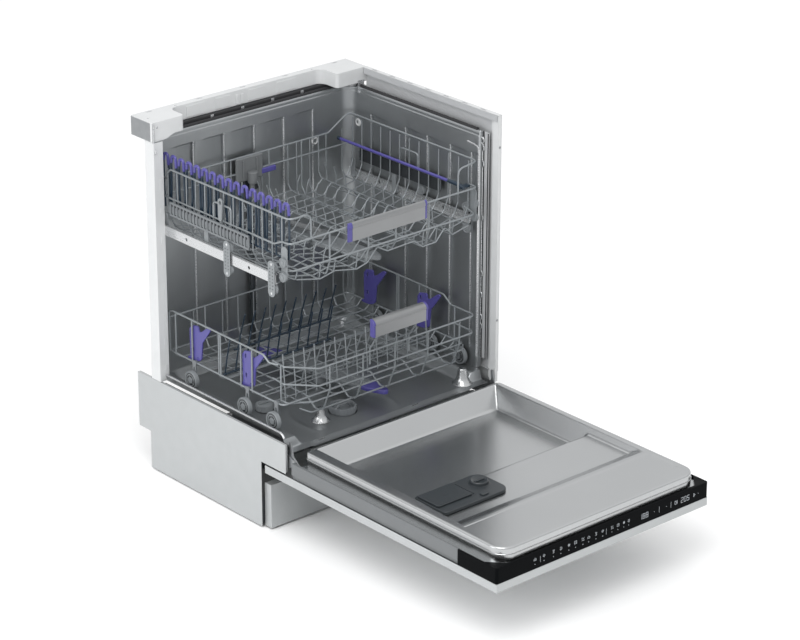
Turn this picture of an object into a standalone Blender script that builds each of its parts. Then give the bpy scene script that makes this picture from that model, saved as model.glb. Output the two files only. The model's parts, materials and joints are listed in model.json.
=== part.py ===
"""Built-in dishwasher, standing as a showroom cutaway with its door lying open.

The left side wall, left outer skin and the ceiling of the tub are cut away. Positions are written in the
carcass frame: x across from the centre, y as depth behind the front edge of the base, z up from the floor.
An empty at the carcass front then puts the whole appliance in the world, centred on its open length.
"""
import math

import bmesh
import bpy
from mathutils import Matrix, Vector

# Driving dimensions, in metres
WIDTH = 0.598
HEIGHT = 0.818
DEPTH = 0.5135
DOOR_REACH = 0.6465
HALF = WIDTH / 2
FRONT_Y = (DOOR_REACH - DEPTH) / 2
GAP = 0.0003
SHEET = 0.0012

# Base
BASE_TOP = 0.222
BASE_NOSE = 0.156
TOE_DEPTH = 0.082
REAR_STEP_Y = 0.472
REAR_STEP_Z = 0.091
PANEL_LIFT = 0.003
TRAY_LOW = 0.008
TRAY_HALF = HALF - SHEET - 0.0004
FOOT_X = 0.250
FOOT_FRONT_Y = 0.104
FOOT_REAR_Y = 0.445

# Tub
TUB_HALF = 0.277
TUB_BACK = 0.467
TUB_FRONT = 0.0375
TUB_TOP = 0.7735
FLOOR_Z = 0.200
TRACK_Z = 0.2215
FLOOR_STEP_Y = 0.0175
FILTER_AT = (-0.061, 0.096)
SALT_AT = (-0.188, 0.207)
ARM_AT = (0.0, 0.240)

# Top frame
BEAM_LOW = 0.774
BEAM_FRONT = 0.434
BEAM_BACK = 0.508
POST_FRONT = -0.008
POST_Y = 0.4294

# Door, lying open
HINGE = Vector((0.0, -0.0148, 0.1833))
DOOR_LOW = 0.1325
PAN_TOP = 0.1512
DOOR_INNER_END = 0.0725
FRAME_TOP = 0.187
STRIP_FRONT = -0.533
LINER_HALF = 0.2845
LINER_TOP = 0.2140
LINER_LOW = 0.160
LINER_BACK = -0.036
LINER_FRONT = -0.637
LINER_SKIN = 0.0008
DEEP_Z = 0.170
DEEP_FRONT = -0.330
SHALLOW_Z = 0.198
SHALLOW_FRONT = -0.460
DISPENSER_X = (-0.235, -0.050)
DISPENSER_Y = (-0.440, -0.331)
DISPENSER_TOP = 0.205

# Racks
WIRE = 0.0020
WELD = 0.0014
RAIL_X = (0.2660, 0.2725)
RAIL_Y = (0.058, 0.4655)
RAIL_Z = (0.559, 0.5816)
BRACKET_Y = (0.0673, 0.2153)
BRACKET_X = (0.2733, 0.2765)
UPPER_HALF = 0.260
UPPER_Y = (0.025, 0.452)
UPPER_RIM = 0.708
UPPER_MID = 0.642
UPPER_FLOOR = 0.552
LOWER_HALF = 0.255
LOWER_Y = (0.020, 0.450)
LOWER_RIM = 0.359
LOWER_MID = 0.280
LOWER_FLOOR = 0.265
WHEEL_Y = (0.080, 0.177, 0.361)
WHEEL_X = (0.2592, 0.2710)
WHEEL_Z = 0.2420
WHEEL_R = 0.0200
AXLE_R = 0.0020
HOLDER_Y = (0.187, 0.370)
HANDLE_Y = (-0.018, -0.004)
LEVER_Y = 0.250
TINE_Z = 0.2735
TINE_PITCH = 0.0287
# name, axle's depth, first tine's x, number of tines, (depth, height) of the tips
TINE_ROWS = (
    ("tine_row_rear", 0.371, -0.130, 10, (0.342, 0.365)),
    ("tine_row_front", 0.280, -0.237, 11, (0.260, 0.363)),
)
LID_Y = (-0.402, -0.336)
RINSE_AT = (-0.090, -0.369)

# The two ways a symmetric pair lies, left then right
SIDES = {"left": -1, "right": 1}

SKINS = {
    "silver": ((0.72, 0.73, 0.74), 0.38, 0.9),
    "white": ((0.86, 0.87, 0.87), 0.45, 0.1),
    "steel": ((0.50, 0.52, 0.53), 0.30, 1.0),
    "bright_steel": ((0.78, 0.79, 0.80), 0.22, 1.0),
    "grey_plastic": ((0.42, 0.45, 0.47), 0.50, 0.0),
    "dark_plastic": ((0.06, 0.07, 0.08), 0.45, 0.0),
    "black_gloss": ((0.01, 0.01, 0.012), 0.08, 0.0),
    "slate": ((0.05, 0.06, 0.07), 0.35, 0.0),
    "violet": ((0.13, 0.11, 0.46), 0.40, 0.0),
    "navy": ((0.01, 0.03, 0.06), 0.45, 0.0),
    "wire": ((0.55, 0.57, 0.58), 0.35, 0.6),
    "rubber": ((0.03, 0.03, 0.03), 0.70, 0.0),
    "iron": ((0.20, 0.20, 0.21), 0.60, 0.7),
}


def clear_scene():
    for old in list(bpy.data.objects):
        bpy.data.objects.remove(old, do_unlink=True)


def new_collection(name, parent):
    made = bpy.data.collections.new(name)
    parent.children.link(made)
    return made


def skin(name):
    """The named material, made once."""
    found = bpy.data.materials.get(name)
    if found:
        return found
    colour, roughness, metallic = SKINS[name]
    made = bpy.data.materials.new(name)
    made.use_nodes = True
    shader = made.node_tree.nodes["Principled BSDF"]
    shader.inputs["Base Color"].default_value = (*colour, 1.0)
    shader.inputs["Roughness"].default_value = roughness
    shader.inputs["Metallic"].default_value = metallic
    return made


# Shapes


def from_bmesh(name, bm, look):
    """An object of this bmesh, in the parts collection, shaded smooth but for its sharp edges."""
    mesh = bpy.data.meshes.new(name)
    bmesh.ops.recalc_face_normals(bm, faces=bm.faces)
    bm.to_mesh(mesh)
    bm.free()
    mesh.shade_smooth()
    mesh.set_sharp_from_angle(angle=math.radians(40))
    made = bpy.data.objects.new(name, mesh)
    made.data.materials.append(skin(look))
    PARTS.objects.link(made)
    return made


def block(name, low, high, look, bevel=0.0):
    """A box between two corners, with its edges rounded by a Bevel."""
    bm = bmesh.new()
    bmesh.ops.create_cube(bm, size=1.0)
    size = Vector(high) - Vector(low)
    middle = (Vector(high) + Vector(low)) / 2
    bmesh.ops.transform(bm, matrix=Matrix.Translation(middle) @ Matrix.Diagonal((*size, 1.0)), verts=bm.verts)
    made = from_bmesh(name, bm, look)
    if bevel:
        rounded = made.modifiers.new("round", "BEVEL")
        rounded.width = bevel
        rounded.segments = 1
    return made


def drum(name, centre, radius, length, axis, look, sides=20, top_radius=None):
    """A cylinder or cone frustum about a world axis, centred on a point."""
    bm = bmesh.new()
    bmesh.ops.create_cone(
        bm, cap_ends=True, segments=sides, radius1=radius, radius2=top_radius or radius, depth=length
    )
    turn = {"X": Matrix.Rotation(math.pi / 2, 4, "Y"), "Y": Matrix.Rotation(-math.pi / 2, 4, "X")}
    spin = turn.get(axis, Matrix.Identity(4))
    bmesh.ops.transform(bm, matrix=Matrix.Translation(centre) @ spin, verts=bm.verts)
    return from_bmesh(name, bm, look)


def turned(name, profile, at, look, steps=24, axis="Z"):
    """A profile of (radius, height), outer side running top to bottom, turned about an axis through a point."""
    bm = bmesh.new()
    points = [bm.verts.new((radius, 0.0, height)) for radius, height in profile]
    for first, second in zip(points, points[1:]):
        bm.edges.new((first, second))
    if profile[0][0] > 0:
        bm.edges.new((points[-1], points[0]))
    mesh = bpy.data.meshes.new(name)
    bm.to_mesh(mesh)
    bm.free()
    made = bpy.data.objects.new(name, mesh)
    made.data.materials.append(skin(look))
    PARTS.objects.link(made)
    screw = made.modifiers.new("turn", "SCREW")
    screw.steps = steps
    screw.render_steps = steps
    screw.use_merge_vertices = True
    screw.merge_threshold = 0.00001
    screw.use_smooth_shade = True
    if axis == "X":
        made.rotation_euler = (0.0, math.pi / 2, 0.0)
    made.location = at
    return made


def curve_object(name, outlines, cyclic, dimensions="2D"):
    curve = bpy.data.curves.new(name, "CURVE")
    curve.dimensions = dimensions
    for outline in outlines:
        spline = curve.splines.new("POLY")
        spline.points.add(len(outline) - 1)
        for point, place in zip(spline.points, outline):
            point.co = (*place, *([0.0] * (3 - len(place))), 1.0)
        spline.use_cyclic_u = cyclic
    made = bpy.data.objects.new(name, curve)
    PARTS.objects.link(made)
    return made


def as_mesh(curve_ob, look):
    """The curve's surface as a mesh object with welded caps; the curve goes."""
    bpy.context.view_layer.update()
    evaluated = curve_ob.evaluated_get(bpy.context.evaluated_depsgraph_get())
    mesh = bpy.data.meshes.new_from_object(evaluated)
    bm = bmesh.new()
    bm.from_mesh(mesh)
    bmesh.ops.remove_doubles(bm, verts=bm.verts, dist=0.00001)
    bmesh.ops.transform(bm, matrix=curve_ob.matrix_world, verts=bm.verts)
    name = curve_ob.name
    bpy.data.objects.remove(curve_ob, do_unlink=True)
    bpy.data.meshes.remove(mesh)
    return from_bmesh(name, bm, look)


def plate(name, outline, low, high, axis, look, holes=()):
    """A flat outline, filled and made as thick as low to high along an axis.

    The outline's points are (y, z) for axis X, (x, z) for axis Y and (x, y) for axis Z.
    """
    made = curve_object(name, [outline, *holes], True)
    made.data.fill_mode = "BOTH"
    made.data.extrude = (high - low) / 2
    middle = (high + low) / 2
    columns = {
        "X": ((0, 1, 0), (0, 0, 1), (1, 0, 0)),
        "Y": ((1, 0, 0), (0, 0, 1), (0, -1, 0)),
        "Z": ((1, 0, 0), (0, 1, 0), (0, 0, 1)),
    }[axis]
    turn = Matrix(columns).transposed().to_4x4()
    shift = Vector((0, 0, 0))
    shift["XYZ".index(axis)] = middle
    made.matrix_world = Matrix.Translation(shift) @ turn
    return as_mesh(made, look)


def tube(name, path, radius, look, cyclic=False, sides=6):
    """A round wire along a path of points."""
    made = curve_object(name, [path], cyclic, "3D")
    made.data.bevel_depth = radius
    made.data.bevel_resolution = (sides - 4) // 2
    made.data.use_fill_caps = True
    return as_mesh(made, look)


def arc(centre, radius, start, end, steps):
    """Points on an arc in a plane, angles in degrees."""
    angles = [math.radians(start + (end - start) * i / steps) for i in range(steps + 1)]
    return [(centre[0] + radius * math.cos(a), centre[1] + radius * math.sin(a)) for a in angles]


def rounded(low, high, radii, steps=4):
    """A rectangle's outline with a radius for each corner: low-low, high-low, high-high, low-high."""
    (x0, y0), (x1, y1) = low, high
    corners = [(x0, y0, 1, 1, 180), (x1, y0, -1, 1, 270), (x1, y1, -1, -1, 0), (x0, y1, 1, -1, 90)]
    outline = []
    for (x, y, sx, sy, start), radius in zip(corners, radii):
        if radius:
            outline += arc((x + sx * radius, y + sy * radius), radius, start, start + 90, steps)
        else:
            outline.append((x, y))
    return outline


def pan(name, outline, closed_z, open_z, thickness, look):
    """A sheet pan: a flat face with walls, open on the other side, the outline being its outside."""
    bm = bmesh.new()
    face = bm.faces.new([bm.verts.new((x, y, closed_z)) for x, y in outline])
    walls = bmesh.ops.extrude_edge_only(bm, edges=list(face.edges))
    rim = [v for v in walls["geom"] if isinstance(v, bmesh.types.BMVert)]
    for vertex in rim:
        vertex.co.z = open_z
    bmesh.ops.recalc_face_normals(bm, faces=bm.faces)
    face.normal_update()
    if face.normal.z * (closed_z - open_z) < 0:
        bmesh.ops.reverse_faces(bm, faces=bm.faces)
    return solidified(name, bm, thickness, look)


def solidified(name, bm, thickness, look):
    """A shell of this thickness, grown inwards from an open surface."""
    mesh = bpy.data.meshes.new(name)
    bm.to_mesh(mesh)
    bm.free()
    made = bpy.data.objects.new(name, mesh)
    made.data.materials.append(skin(look))
    PARTS.objects.link(made)
    wall = made.modifiers.new("wall", "SOLIDIFY")
    wall.thickness = thickness
    wall.offset = -1.0
    wall.use_even_offset = True
    return made


# Joining and cutting


def hide_operands(name, operands):
    """Puts Boolean operands in a cutter collection of their own."""
    group = new_collection(name, CUTTERS)
    for operand in operands:
        PARTS.objects.unlink(operand)
        group.objects.link(operand)
        operand.hide_render = True
        operand.display_type = "WIRE"
        operand.name = f"{name}_operand"
    return group


def boolean(base, operands, operation):
    """Joins the operands to the base, or cuts them from it, with one exact Boolean."""
    step = base.modifiers.new(operation.lower(), "BOOLEAN")
    step.operation = operation
    step.solver = "EXACT"
    step.operand_type = "COLLECTION"
    step.collection = hide_operands(f"{base.name}_{operation.lower()}", operands)
    return base


def join(base, *operands):
    return boolean(base, operands, "UNION")


def cut(base, *operands):
    return boolean(base, operands, "DIFFERENCE")


def mirrored_x(points):
    """The same outline on the other side, still running the same way round."""
    return [(-x, *rest) for x, *rest in reversed(points)]


def span(side, near, far):
    """The low and high x of a piece between two distances from the centre, on one side."""
    return (near, far) if side > 0 else (-far, -near)


# Base


def base_sides():
    outline = [
        (DEPTH, BASE_TOP),
        (DEPTH, REAR_STEP_Z),
        (REAR_STEP_Y, REAR_STEP_Z),
        (REAR_STEP_Y, PANEL_LIFT),
        (TOE_DEPTH, PANEL_LIFT),
        (TOE_DEPTH, BASE_NOSE),
        (0.0, BASE_NOSE),
        (0.0, BASE_TOP),
    ]
    for word, side in SIDES.items():
        plate(f"base_side_{word}", outline, *span(side, HALF - SHEET, HALF), "X", "silver")


def base_tray():
    """The moulded drip tray, with the water, drain and mains glands on its rear wall."""
    y0, y1 = TOE_DEPTH + 0.0015, REAR_STEP_Y - 0.0005
    corners = [(-TRAY_HALF, y0), (TRAY_HALF, y0), (TRAY_HALF, y1), (-TRAY_HALF, y1)]
    tray = pan("base_tray", corners, TRAY_LOW, 0.070, 0.0025, "dark_plastic")
    glands = [
        drum("inlet", (-0.230, y1 + 0.006, 0.045), 0.0125, 0.020, "Y", "grey_plastic", 12),
        drum("drain", (-0.170, y1 + 0.006, 0.045), 0.0105, 0.020, "Y", "grey_plastic", 12),
        drum("mains", (0.225, y1 + 0.004, 0.045), 0.0085, 0.016, "Y", "grey_plastic", 12),
    ]
    join(tray, *glands)


def kick_plate():
    edge, front, back = 0.2905, 0.0600, TOE_DEPTH - 0.0005
    outline = [
        (-edge, front),
        (edge, front),
        (edge, back),
        (edge - SHEET, back),
        (edge - SHEET, front + SHEET),
        (SHEET - edge, front + SHEET),
        (SHEET - edge, back),
        (-edge, back),
    ]
    plate("kick_plate", outline, 0.004, 0.105, "Z", "silver")


def feet():
    places = {
        "foot_front_left": (-FOOT_X, FOOT_FRONT_Y),
        "foot_front_right": (FOOT_X, FOOT_FRONT_Y),
        "foot_rear": (0.0, FOOT_REAR_Y),
    }
    top = TRAY_LOW - GAP
    profile = [(0.0, top), (0.0050, top), (0.0050, 0.0060), (0.0170, 0.0050), (0.0180, 0.0), (0.0, 0.0)]
    for name, (x, y) in places.items():
        turned(name, profile, (x, y, 0.0), "dark_plastic", 16)


def machinery():
    """What stands in the base: ballast, sump with the circulation pump flanged to it, and softener."""
    deck = TRAY_LOW + 0.0025 + GAP
    block("counterweight", (-0.150, 0.395, deck), (0.150, 0.463, 0.075), "iron", 0.003)
    sump_corners = rounded((-0.120, 0.055), (0.060, 0.275), (0.032,) * 4, 3)
    sump = pan("sump", sump_corners, 0.158, FLOOR_Z - SHEET - 0.0005, 0.0025, "grey_plastic")
    neck = drum("pump_neck", (-0.020, 0.215, 0.111), 0.034, 0.096, "Z", "grey_plastic", 20)
    inlet = drum("pump_inlet", (0.040, 0.215, 0.085), 0.018, 0.130, "X", "grey_plastic", 16)
    volute = drum("pump_volute", (0.125, 0.220, 0.085), 0.045, 0.045, "X", "grey_plastic", 20)
    motor = drum("pump_motor", (0.178, 0.220, 0.085), 0.032, 0.075, "X", "grey_plastic", 20)
    join(sump, neck, inlet, volute, motor)
    softener = block("water_softener", (-0.236, 0.140, 0.085), (-0.124, 0.275, 0.188), "grey_plastic", 0.010)
    join(softener, drum("neck", (*SALT_AT, 0.192), 0.0190, 0.012, "Z", "grey_plastic", 20))


# Tub


def floor_profile():
    """The floor's section across x: flat well, raised wheel tracks, and a lip along the cut left edge."""
    top = [
        (-0.2855, 0.2370),
        (-0.2843, 0.2370),
        (-0.2810, TRACK_Z),
        (-0.2500, TRACK_Z),
        (-0.2350, FLOOR_Z),
        (0.2350, FLOOR_Z),
        (0.2500, TRACK_Z),
        (TUB_HALF - 0.0005, TRACK_Z),
    ]
    under = [
        (TUB_HALF - 0.0005, TRACK_Z - SHEET),
        (0.2508, TRACK_Z - SHEET),
        (0.2358, FLOOR_Z - SHEET),
        (-0.2358, FLOOR_Z - SHEET),
        (-0.2508, TRACK_Z - SHEET),
        (-0.2820, TRACK_Z - SHEET),
        (-0.2855, 0.2350),
    ]
    return top + under


def tub():
    back = (TUB_BACK, TUB_BACK + 0.001)
    wall_low = TRACK_Z + 0.0005
    block("tub_rear_wall", (-0.2795, back[0], wall_low), (TUB_HALF - GAP, back[1], TUB_TOP), "steel")
    side = [(TUB_FRONT, wall_low), (back[1], wall_low), (back[1], TUB_TOP), (TUB_FRONT, TUB_TOP)]
    plate("tub_right_wall", side, TUB_HALF, TUB_HALF + 0.001, "X", "steel")
    floor = plate("tub_floor", floor_profile(), 0.0, TUB_BACK - GAP, "Y", "steel")
    cut(
        floor,
        block("mouth", (-0.300, -0.010, FLOOR_Z + 0.0006), (0.300, FLOOR_STEP_Y, 0.300), "steel"),
        drum("filter_hole", (*FILTER_AT, FLOOR_Z), 0.0320, 0.020, "Z", "steel", 24),
        drum("salt_hole", (*SALT_AT, FLOOR_Z), 0.0210, 0.020, "Z", "steel", 20),
        block("post_slot", (-0.300, POST_Y - 0.0006, 0.2218), (-0.2744, POST_Y + 0.0020, 0.250), "steel"),
    )
    seal = [
        (TUB_HALF + 0.0030, 0.0175),
        (0.2885, 0.0175),
        (0.2885, TUB_FRONT - 0.002),
        (0.2835, TUB_FRONT - 0.002),
        (0.2835, TUB_FRONT + 0.004),
        (TUB_HALF + 0.0030, TUB_FRONT + 0.004),
    ]
    plate("door_seal", seal, 0.245, TUB_TOP, "Z", "rubber")


def filter_and_salt():
    """The twist-in filter cup and the salt tank's screw cap, each turning about its own upright axis."""
    cup = [(0.0300, 0.2130), (0.0300, 0.2010), (0.0285, 0.1990), (0.0285, 0.1630), (0.0240, 0.1630)]
    cup += [(0.0240, 0.2095), (0.0262, 0.2130)]
    turned("filter_cylinder", cup, (*FILTER_AT, 0.0), "grey_plastic", 24)
    cap = [(0.0, 0.2170), (0.0150, 0.2170), (0.0195, 0.2140), (0.0195, 0.2010), (0.0150, 0.1985), (0.0, 0.1985)]
    salt = turned("salt_cap", cap, (*SALT_AT, 0.0), "grey_plastic", 20)
    x, y = SALT_AT
    join(salt, block("grip", (x - 0.0135, y - 0.003, 0.2150), (x + 0.0135, y + 0.003, 0.2200), "grey_plastic"))


def feed_pipe():
    """The riser up the rear wall, ending in the socket that the upper rack docks on."""
    radius = 0.0060
    depth = TUB_BACK - radius - GAP
    path = [(-0.015, depth, FLOOR_Z + GAP), (-0.015, depth, 0.600)]
    pipe = tube("feed_pipe", path, radius, "grey_plastic", sides=8)
    dock = block("dock", (-0.035, TUB_BACK - 0.0105, 0.590), (0.005, TUB_BACK - GAP, 0.690), "grey_plastic")
    join(pipe, dock)


# Outer frame


def rear_beam():
    reach, inner = 0.212, 0.489
    outline = [(-HALF, BEAM_BACK), (-HALF, BEAM_FRONT), (-reach - 0.006, BEAM_FRONT)]
    outline += [(-reach, BEAM_FRONT + 0.006)]
    outline += arc((-reach + 0.020, inner - 0.020), 0.020, 180, 90, 4)
    outline += arc((reach - 0.020, inner - 0.020), 0.020, 90, 0, 4)
    outline += [(reach, BEAM_FRONT + 0.006), (reach + 0.006, BEAM_FRONT), (HALF, BEAM_FRONT), (HALF, BEAM_BACK)]
    pan("rear_beam", outline, HEIGHT, BEAM_LOW, 0.0015, "white")


def posts():
    left = [
        (-HALF, POST_Y),
        (-0.2750, POST_Y),
        (-0.2750, POST_Y + SHEET),
        (SHEET - HALF, POST_Y + SHEET),
        (SHEET - HALF, 0.4615),
        (-HALF, 0.4615),
    ]
    plate("rear_left_post", left, BASE_TOP + 0.0005, BEAM_LOW - 0.0005, "Z", "white")
    outer, inner, back = HALF - SHEET - 0.0004, 0.2900, 0.0206
    right = [
        (inner, POST_FRONT),
        (outer, POST_FRONT),
        (outer, back),
        (outer - SHEET, back),
        (outer - SHEET, POST_FRONT + SHEET),
        (inner + SHEET, POST_FRONT + SHEET),
        (inner + SHEET, 0.0100),
        (inner, 0.0100),
    ]
    plate("front_right_post", right, 0.199, HEIGHT - 0.0016, "Z", "white")


def right_side_panel():
    """The outer skin of the right side, with a flange folded in along its top edge."""
    low, step = BASE_TOP + 0.0005, BEAM_LOW - 0.0005
    outline = [
        (POST_FRONT, low),
        (BEAM_BACK, low),
        (BEAM_BACK, step),
        (BEAM_FRONT - 0.0005, step),
        (BEAM_FRONT - 0.0005, HEIGHT),
        (POST_FRONT, HEIGHT),
    ]
    panel = plate("right_side_panel", outline, HALF - SHEET, HALF, "X", "white")
    flange_low = (0.2890, POST_FRONT + 0.0002, HEIGHT - 0.0013)
    flange_high = (HALF - SHEET / 2, BEAM_FRONT - 0.0008, HEIGHT - 0.0001)
    join(panel, block("flange", flange_low, flange_high, "white"))


def hinge_brackets():
    """Plates inside the base that carry the hinge pins, whose heads hold the door's arms."""
    y, z = HINGE.y, HINGE.z
    outline = [(0.110, 0.1585), (0.110, 0.198), (0.004, 0.198)]
    outline += arc((y, z), 0.0085, 75, 285, 6)
    outline += [(0.004, 0.1640), (0.012, 0.1585)]
    for word, side in SIDES.items():
        bracket = plate(f"hinge_bracket_{word}", outline, *span(side, 0.2886, 0.2906), "X", "iron")
        pin = drum("pin", (side * 0.2864, y, z), 0.0030, 0.0064, "X", "iron", 12)
        head = drum("head", (side * 0.2841, y, z), 0.0050, 0.0012, "X", "iron", 12)
        join(bracket, pin, head)


# Racks


def wires(name, look, rings, runs):
    """Closed rings and open runs of wire, welded into one piece where they touch."""
    pieces = [tube(name, ring, WIRE, look, True) for ring in rings]
    pieces += [tube("run", run, WIRE, look) for run in runs]
    first, *others = pieces
    return join(first, *others)


def upper_basket():
    y0, y1 = UPPER_Y
    half = UPPER_HALF
    mid = [(x, y, UPPER_MID) for x, y in rounded((-half, y0), (half, y1), (0.020, 0.020, 0.012, 0.012), 2)]
    gate = 0.190
    rim = [(-gate, y0, UPPER_MID), (-gate, y0, UPPER_RIM)]
    rim += [(x, y, UPPER_RIM) for x, y in reversed(arc((-half + 0.02, y0 + 0.02), 0.020, 180, 270, 2))]
    rim += [(-half, y1, UPPER_RIM), (half, y1, UPPER_RIM)]
    rim += [(x, y, UPPER_RIM) for x, y in reversed(arc((half - 0.02, y0 + 0.02), 0.020, 270, 360, 2))]
    rim += [(gate, y0, UPPER_RIM), (gate, y0, UPPER_MID)]
    runs = [rim]
    wall, foot = half - WELD, 0.245
    for y in (0.075, 0.165, 0.255, 0.345, 0.430):
        side = [(wall, y, UPPER_RIM), (wall, y, 0.600), (foot, y, UPPER_FLOOR)]
        runs.append(side + [(-x, y, z) for x, y, z in reversed(side)])
    front, back = y0 + WELD, y1 - WELD
    for x in (-0.200, -0.100, 0.0, 0.100, 0.200):
        path = [(x, front, UPPER_MID), (x, front, 0.585), (x, front + 0.015, UPPER_FLOOR + WELD)]
        path += [(x, back - 0.015, UPPER_FLOOR + WELD), (x, back, 0.585), (x, back, UPPER_RIM)]
        runs.append(path)
    wires("upper_basket", "wire", [mid], runs)


def lower_outline():
    """The lower rack's plan: its front left corner is drawn in, its front right one nearly square."""
    y0, y1 = LOWER_Y
    half = LOWER_HALF
    return [
        (-0.188, y0),
        (0.246, y0),
        (half, y0 + 0.010),
        (half, y1 - 0.008),
        (half - 0.008, y1),
        (-half + 0.008, y1),
        (-half, y1 - 0.008),
        (-half, 0.119),
        (-0.239, 0.075),
    ]


def lower_basket():
    y0, y1 = LOWER_Y
    half = LOWER_HALF
    rim = [(x, y, LOWER_RIM) for x, y in lower_outline()]
    mid_corners = rounded((-half, y0 + 0.0375), (half, y1), (0.012, 0.012, 0.008, 0.008), 1)
    mid = [(x, y, LOWER_MID) for x, y in mid_corners]
    runs = []
    wall = half - WELD
    for y in (0.145, 0.240, 0.325, 0.430):
        side = [(wall, y, LOWER_RIM), (wall, y, LOWER_MID), (0.238, y, LOWER_FLOOR)]
        runs.append(side + [(-x, y, z) for x, y, z in reversed(side)])
    front, back = y0 + WELD, y1 - WELD
    for x in (-0.048, 0.062):
        stem = HANDLE_Y[1] + WIRE + 0.0005
        runs.append([(x, front, LOWER_RIM - 0.010), (x, front, LOWER_RIM + 0.006), (x, stem, 0.398), (x, stem, 0.442)])
    for x in (-0.170, -0.085, 0.0, 0.085, 0.170):
        path = [(x, front, LOWER_RIM), (x, front + 0.010, 0.300), (x, 0.0575 + WELD, LOWER_MID)]
        path += [(x, 0.075, LOWER_FLOOR + WELD), (x, back - 0.010, LOWER_FLOOR + WELD)]
        path += [(x, back, LOWER_MID), (x, back, LOWER_RIM)]
        runs.append(path)
    for side in SIDES.values():
        for y in WHEEL_Y:
            leg = side * wall
            runs.append([(leg, y, LOWER_MID), (leg, y, WHEEL_Z), (side * WHEEL_X[1], y, WHEEL_Z)])
    wires("lower_basket", "wire", [rim, mid], runs)


def wheels():
    """Six rollers on the lower rack's stub axles, each turning about its own axle."""
    middle = sum(WHEEL_X) / 2
    half = (WHEEL_X[1] - WHEEL_X[0]) / 2
    bore = AXLE_R + GAP
    profile = [(WHEEL_R - 0.001, half), (WHEEL_R, half - 0.001), (WHEEL_R, 0.001 - half)]
    profile += [(WHEEL_R - 0.001, -half), (bore, -half), (bore, half)]
    for word, side in SIDES.items():
        for number, y in enumerate(WHEEL_Y, 1):
            turned(f"wheel_{word}_{number}", profile, (side * middle, y, WHEEL_Z), "grey_plastic", 24, "X")


def handle(name, centre, size, depth):
    """A grip bar with rounded ends on a rack's front."""
    (x, z), (width, height) = centre, size
    outline = rounded((x - width / 2, z - height / 2), (x + width / 2, z + height / 2), (0.004,) * 4, 2)
    plate(name, outline, *depth, "Y", "silver")


def rails_and_brackets():
    """Rails that slide between fixed brackets, each with a roller above and below the rail."""
    roller_r = 0.0120
    for word, side in SIDES.items():
        x0, x1 = span(side, *RAIL_X)
        rail = block(f"rail_{word}", (x0, RAIL_Y[0], RAIL_Z[0]), (x1, RAIL_Y[1], RAIL_Z[1]), "white", 0.001)
        groove = span(side, RAIL_X[0] - 0.001, RAIL_X[0] + 0.0048)
        low = (groove[0], RAIL_Y[0] + 0.004, RAIL_Z[0] + 0.0015)
        high = (groove[1], RAIL_Y[1] - 0.004, RAIL_Z[1] - 0.0015)
        cut(rail, block("groove", low, high, "white"))
        for place, y in zip(("front", "rear"), BRACKET_Y):
            bracket_outline = rounded((y - 0.011, 0.5300), (y + 0.011, 0.6105), (0.011,) * 4, 4)
            name = f"roller_bracket_{word}_{place}"
            bracket = plate(name, bracket_outline, *span(side, *BRACKET_X), "X", "grey_plastic")
            above = (side * 0.2702, y, RAIL_Z[1] + GAP + roller_r)
            below = (side * 0.2702, y, RAIL_Z[0] - GAP - roller_r)
            rollers = [drum("roller", at, roller_r, 0.0072, "X", "grey_plastic", 16) for at in (above, below)]
            join(bracket, *rollers)


def height_adjusters():
    """The ribbed housings on the upper rack's sides, and the left one's release lever."""
    for word, side in SIDES.items():
        x0, x1 = span(side, 0.2629, 0.2690)
        block(f"height_adjuster_{word}", (x0, 0.150, 0.6068), (x1, 0.420, 0.6385), "grey_plastic", 0.001)
    outline = arc((LEVER_Y, 0.648), 0.006, 180, 360, 4) + arc((LEVER_Y - 0.002, 0.686), 0.008, 0, 180, 4)
    plate("adjuster_lever", outline, -0.2672, -0.2630, "X", "grey_plastic")


def glass_comb():
    """The folding comb of tall arches along the left side of the upper rack."""
    low, high, arches = 0.612, 0.735, 14
    start, pitch = 0.052, 0.0280
    outline = [(start - 0.004, low), (start + arches * pitch - 0.010, low)]
    for number in reversed(range(arches)):
        foot = start + number * pitch
        outline += [(foot + 0.017, low + 0.010), (foot + 0.014, high - 0.004), (foot + 0.009, high)]
        outline += [(foot + 0.004, high - 0.004), (foot, low + 0.010)]
    plate("glass_comb", outline, -0.2530, -0.2496, "X", "violet")


def spray_arms():
    """Two-armed rotors, each turning about the upright axis of its hub."""
    lower_path = [(-0.190, 0.0), (-0.150, -0.021), (0.0, -0.030), (0.150, -0.017), (0.190, 0.0)]
    blade = lower_path + [(-x, -y) for x, y in lower_path[1:-1]]
    for name, reach, z, hub_low in (("lower_spray_arm", 1.0, 0.2240, 0.2030), ("upper_spray_arm", 0.89, 0.5310, 0.5270)):
        turn = Matrix.Rotation(math.radians(-81), 2)
        outline = [turn @ Vector((x * reach, y * reach)) for x, y in blade]
        placed = [(ARM_AT[0] + p.x, ARM_AT[1] + p.y) for p in outline]
        arm = plate(name, placed, z, z + 0.0105, "Z", "grey_plastic")
        hub_high = z + 0.0125
        hub = drum("hub", (*ARM_AT, (hub_low + hub_high) / 2), 0.0200, hub_high - hub_low, "Z", "grey_plastic", 20)
        join(arm, hub)


def tray_holders():
    """Forked tray rests that fold down into the lower rack."""
    low = 0.2785
    for word, side in SIDES.items():
        for number, y in enumerate(HOLDER_Y, 1):
            outline = [
                (y - 0.006, low),
                (y + 0.006, low),
                (y + 0.009, 0.300),
                (y + 0.024, 0.352),
                (y + 0.018, 0.363),
                (y + 0.001, 0.318),
                (y - 0.014, 0.358),
                (y - 0.021, 0.354),
                (y - 0.010, 0.300),
            ]
            plate(f"tray_holder_{word}_{number}", outline, *span(side, 0.2466, 0.2506), "X", "violet")


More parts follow.
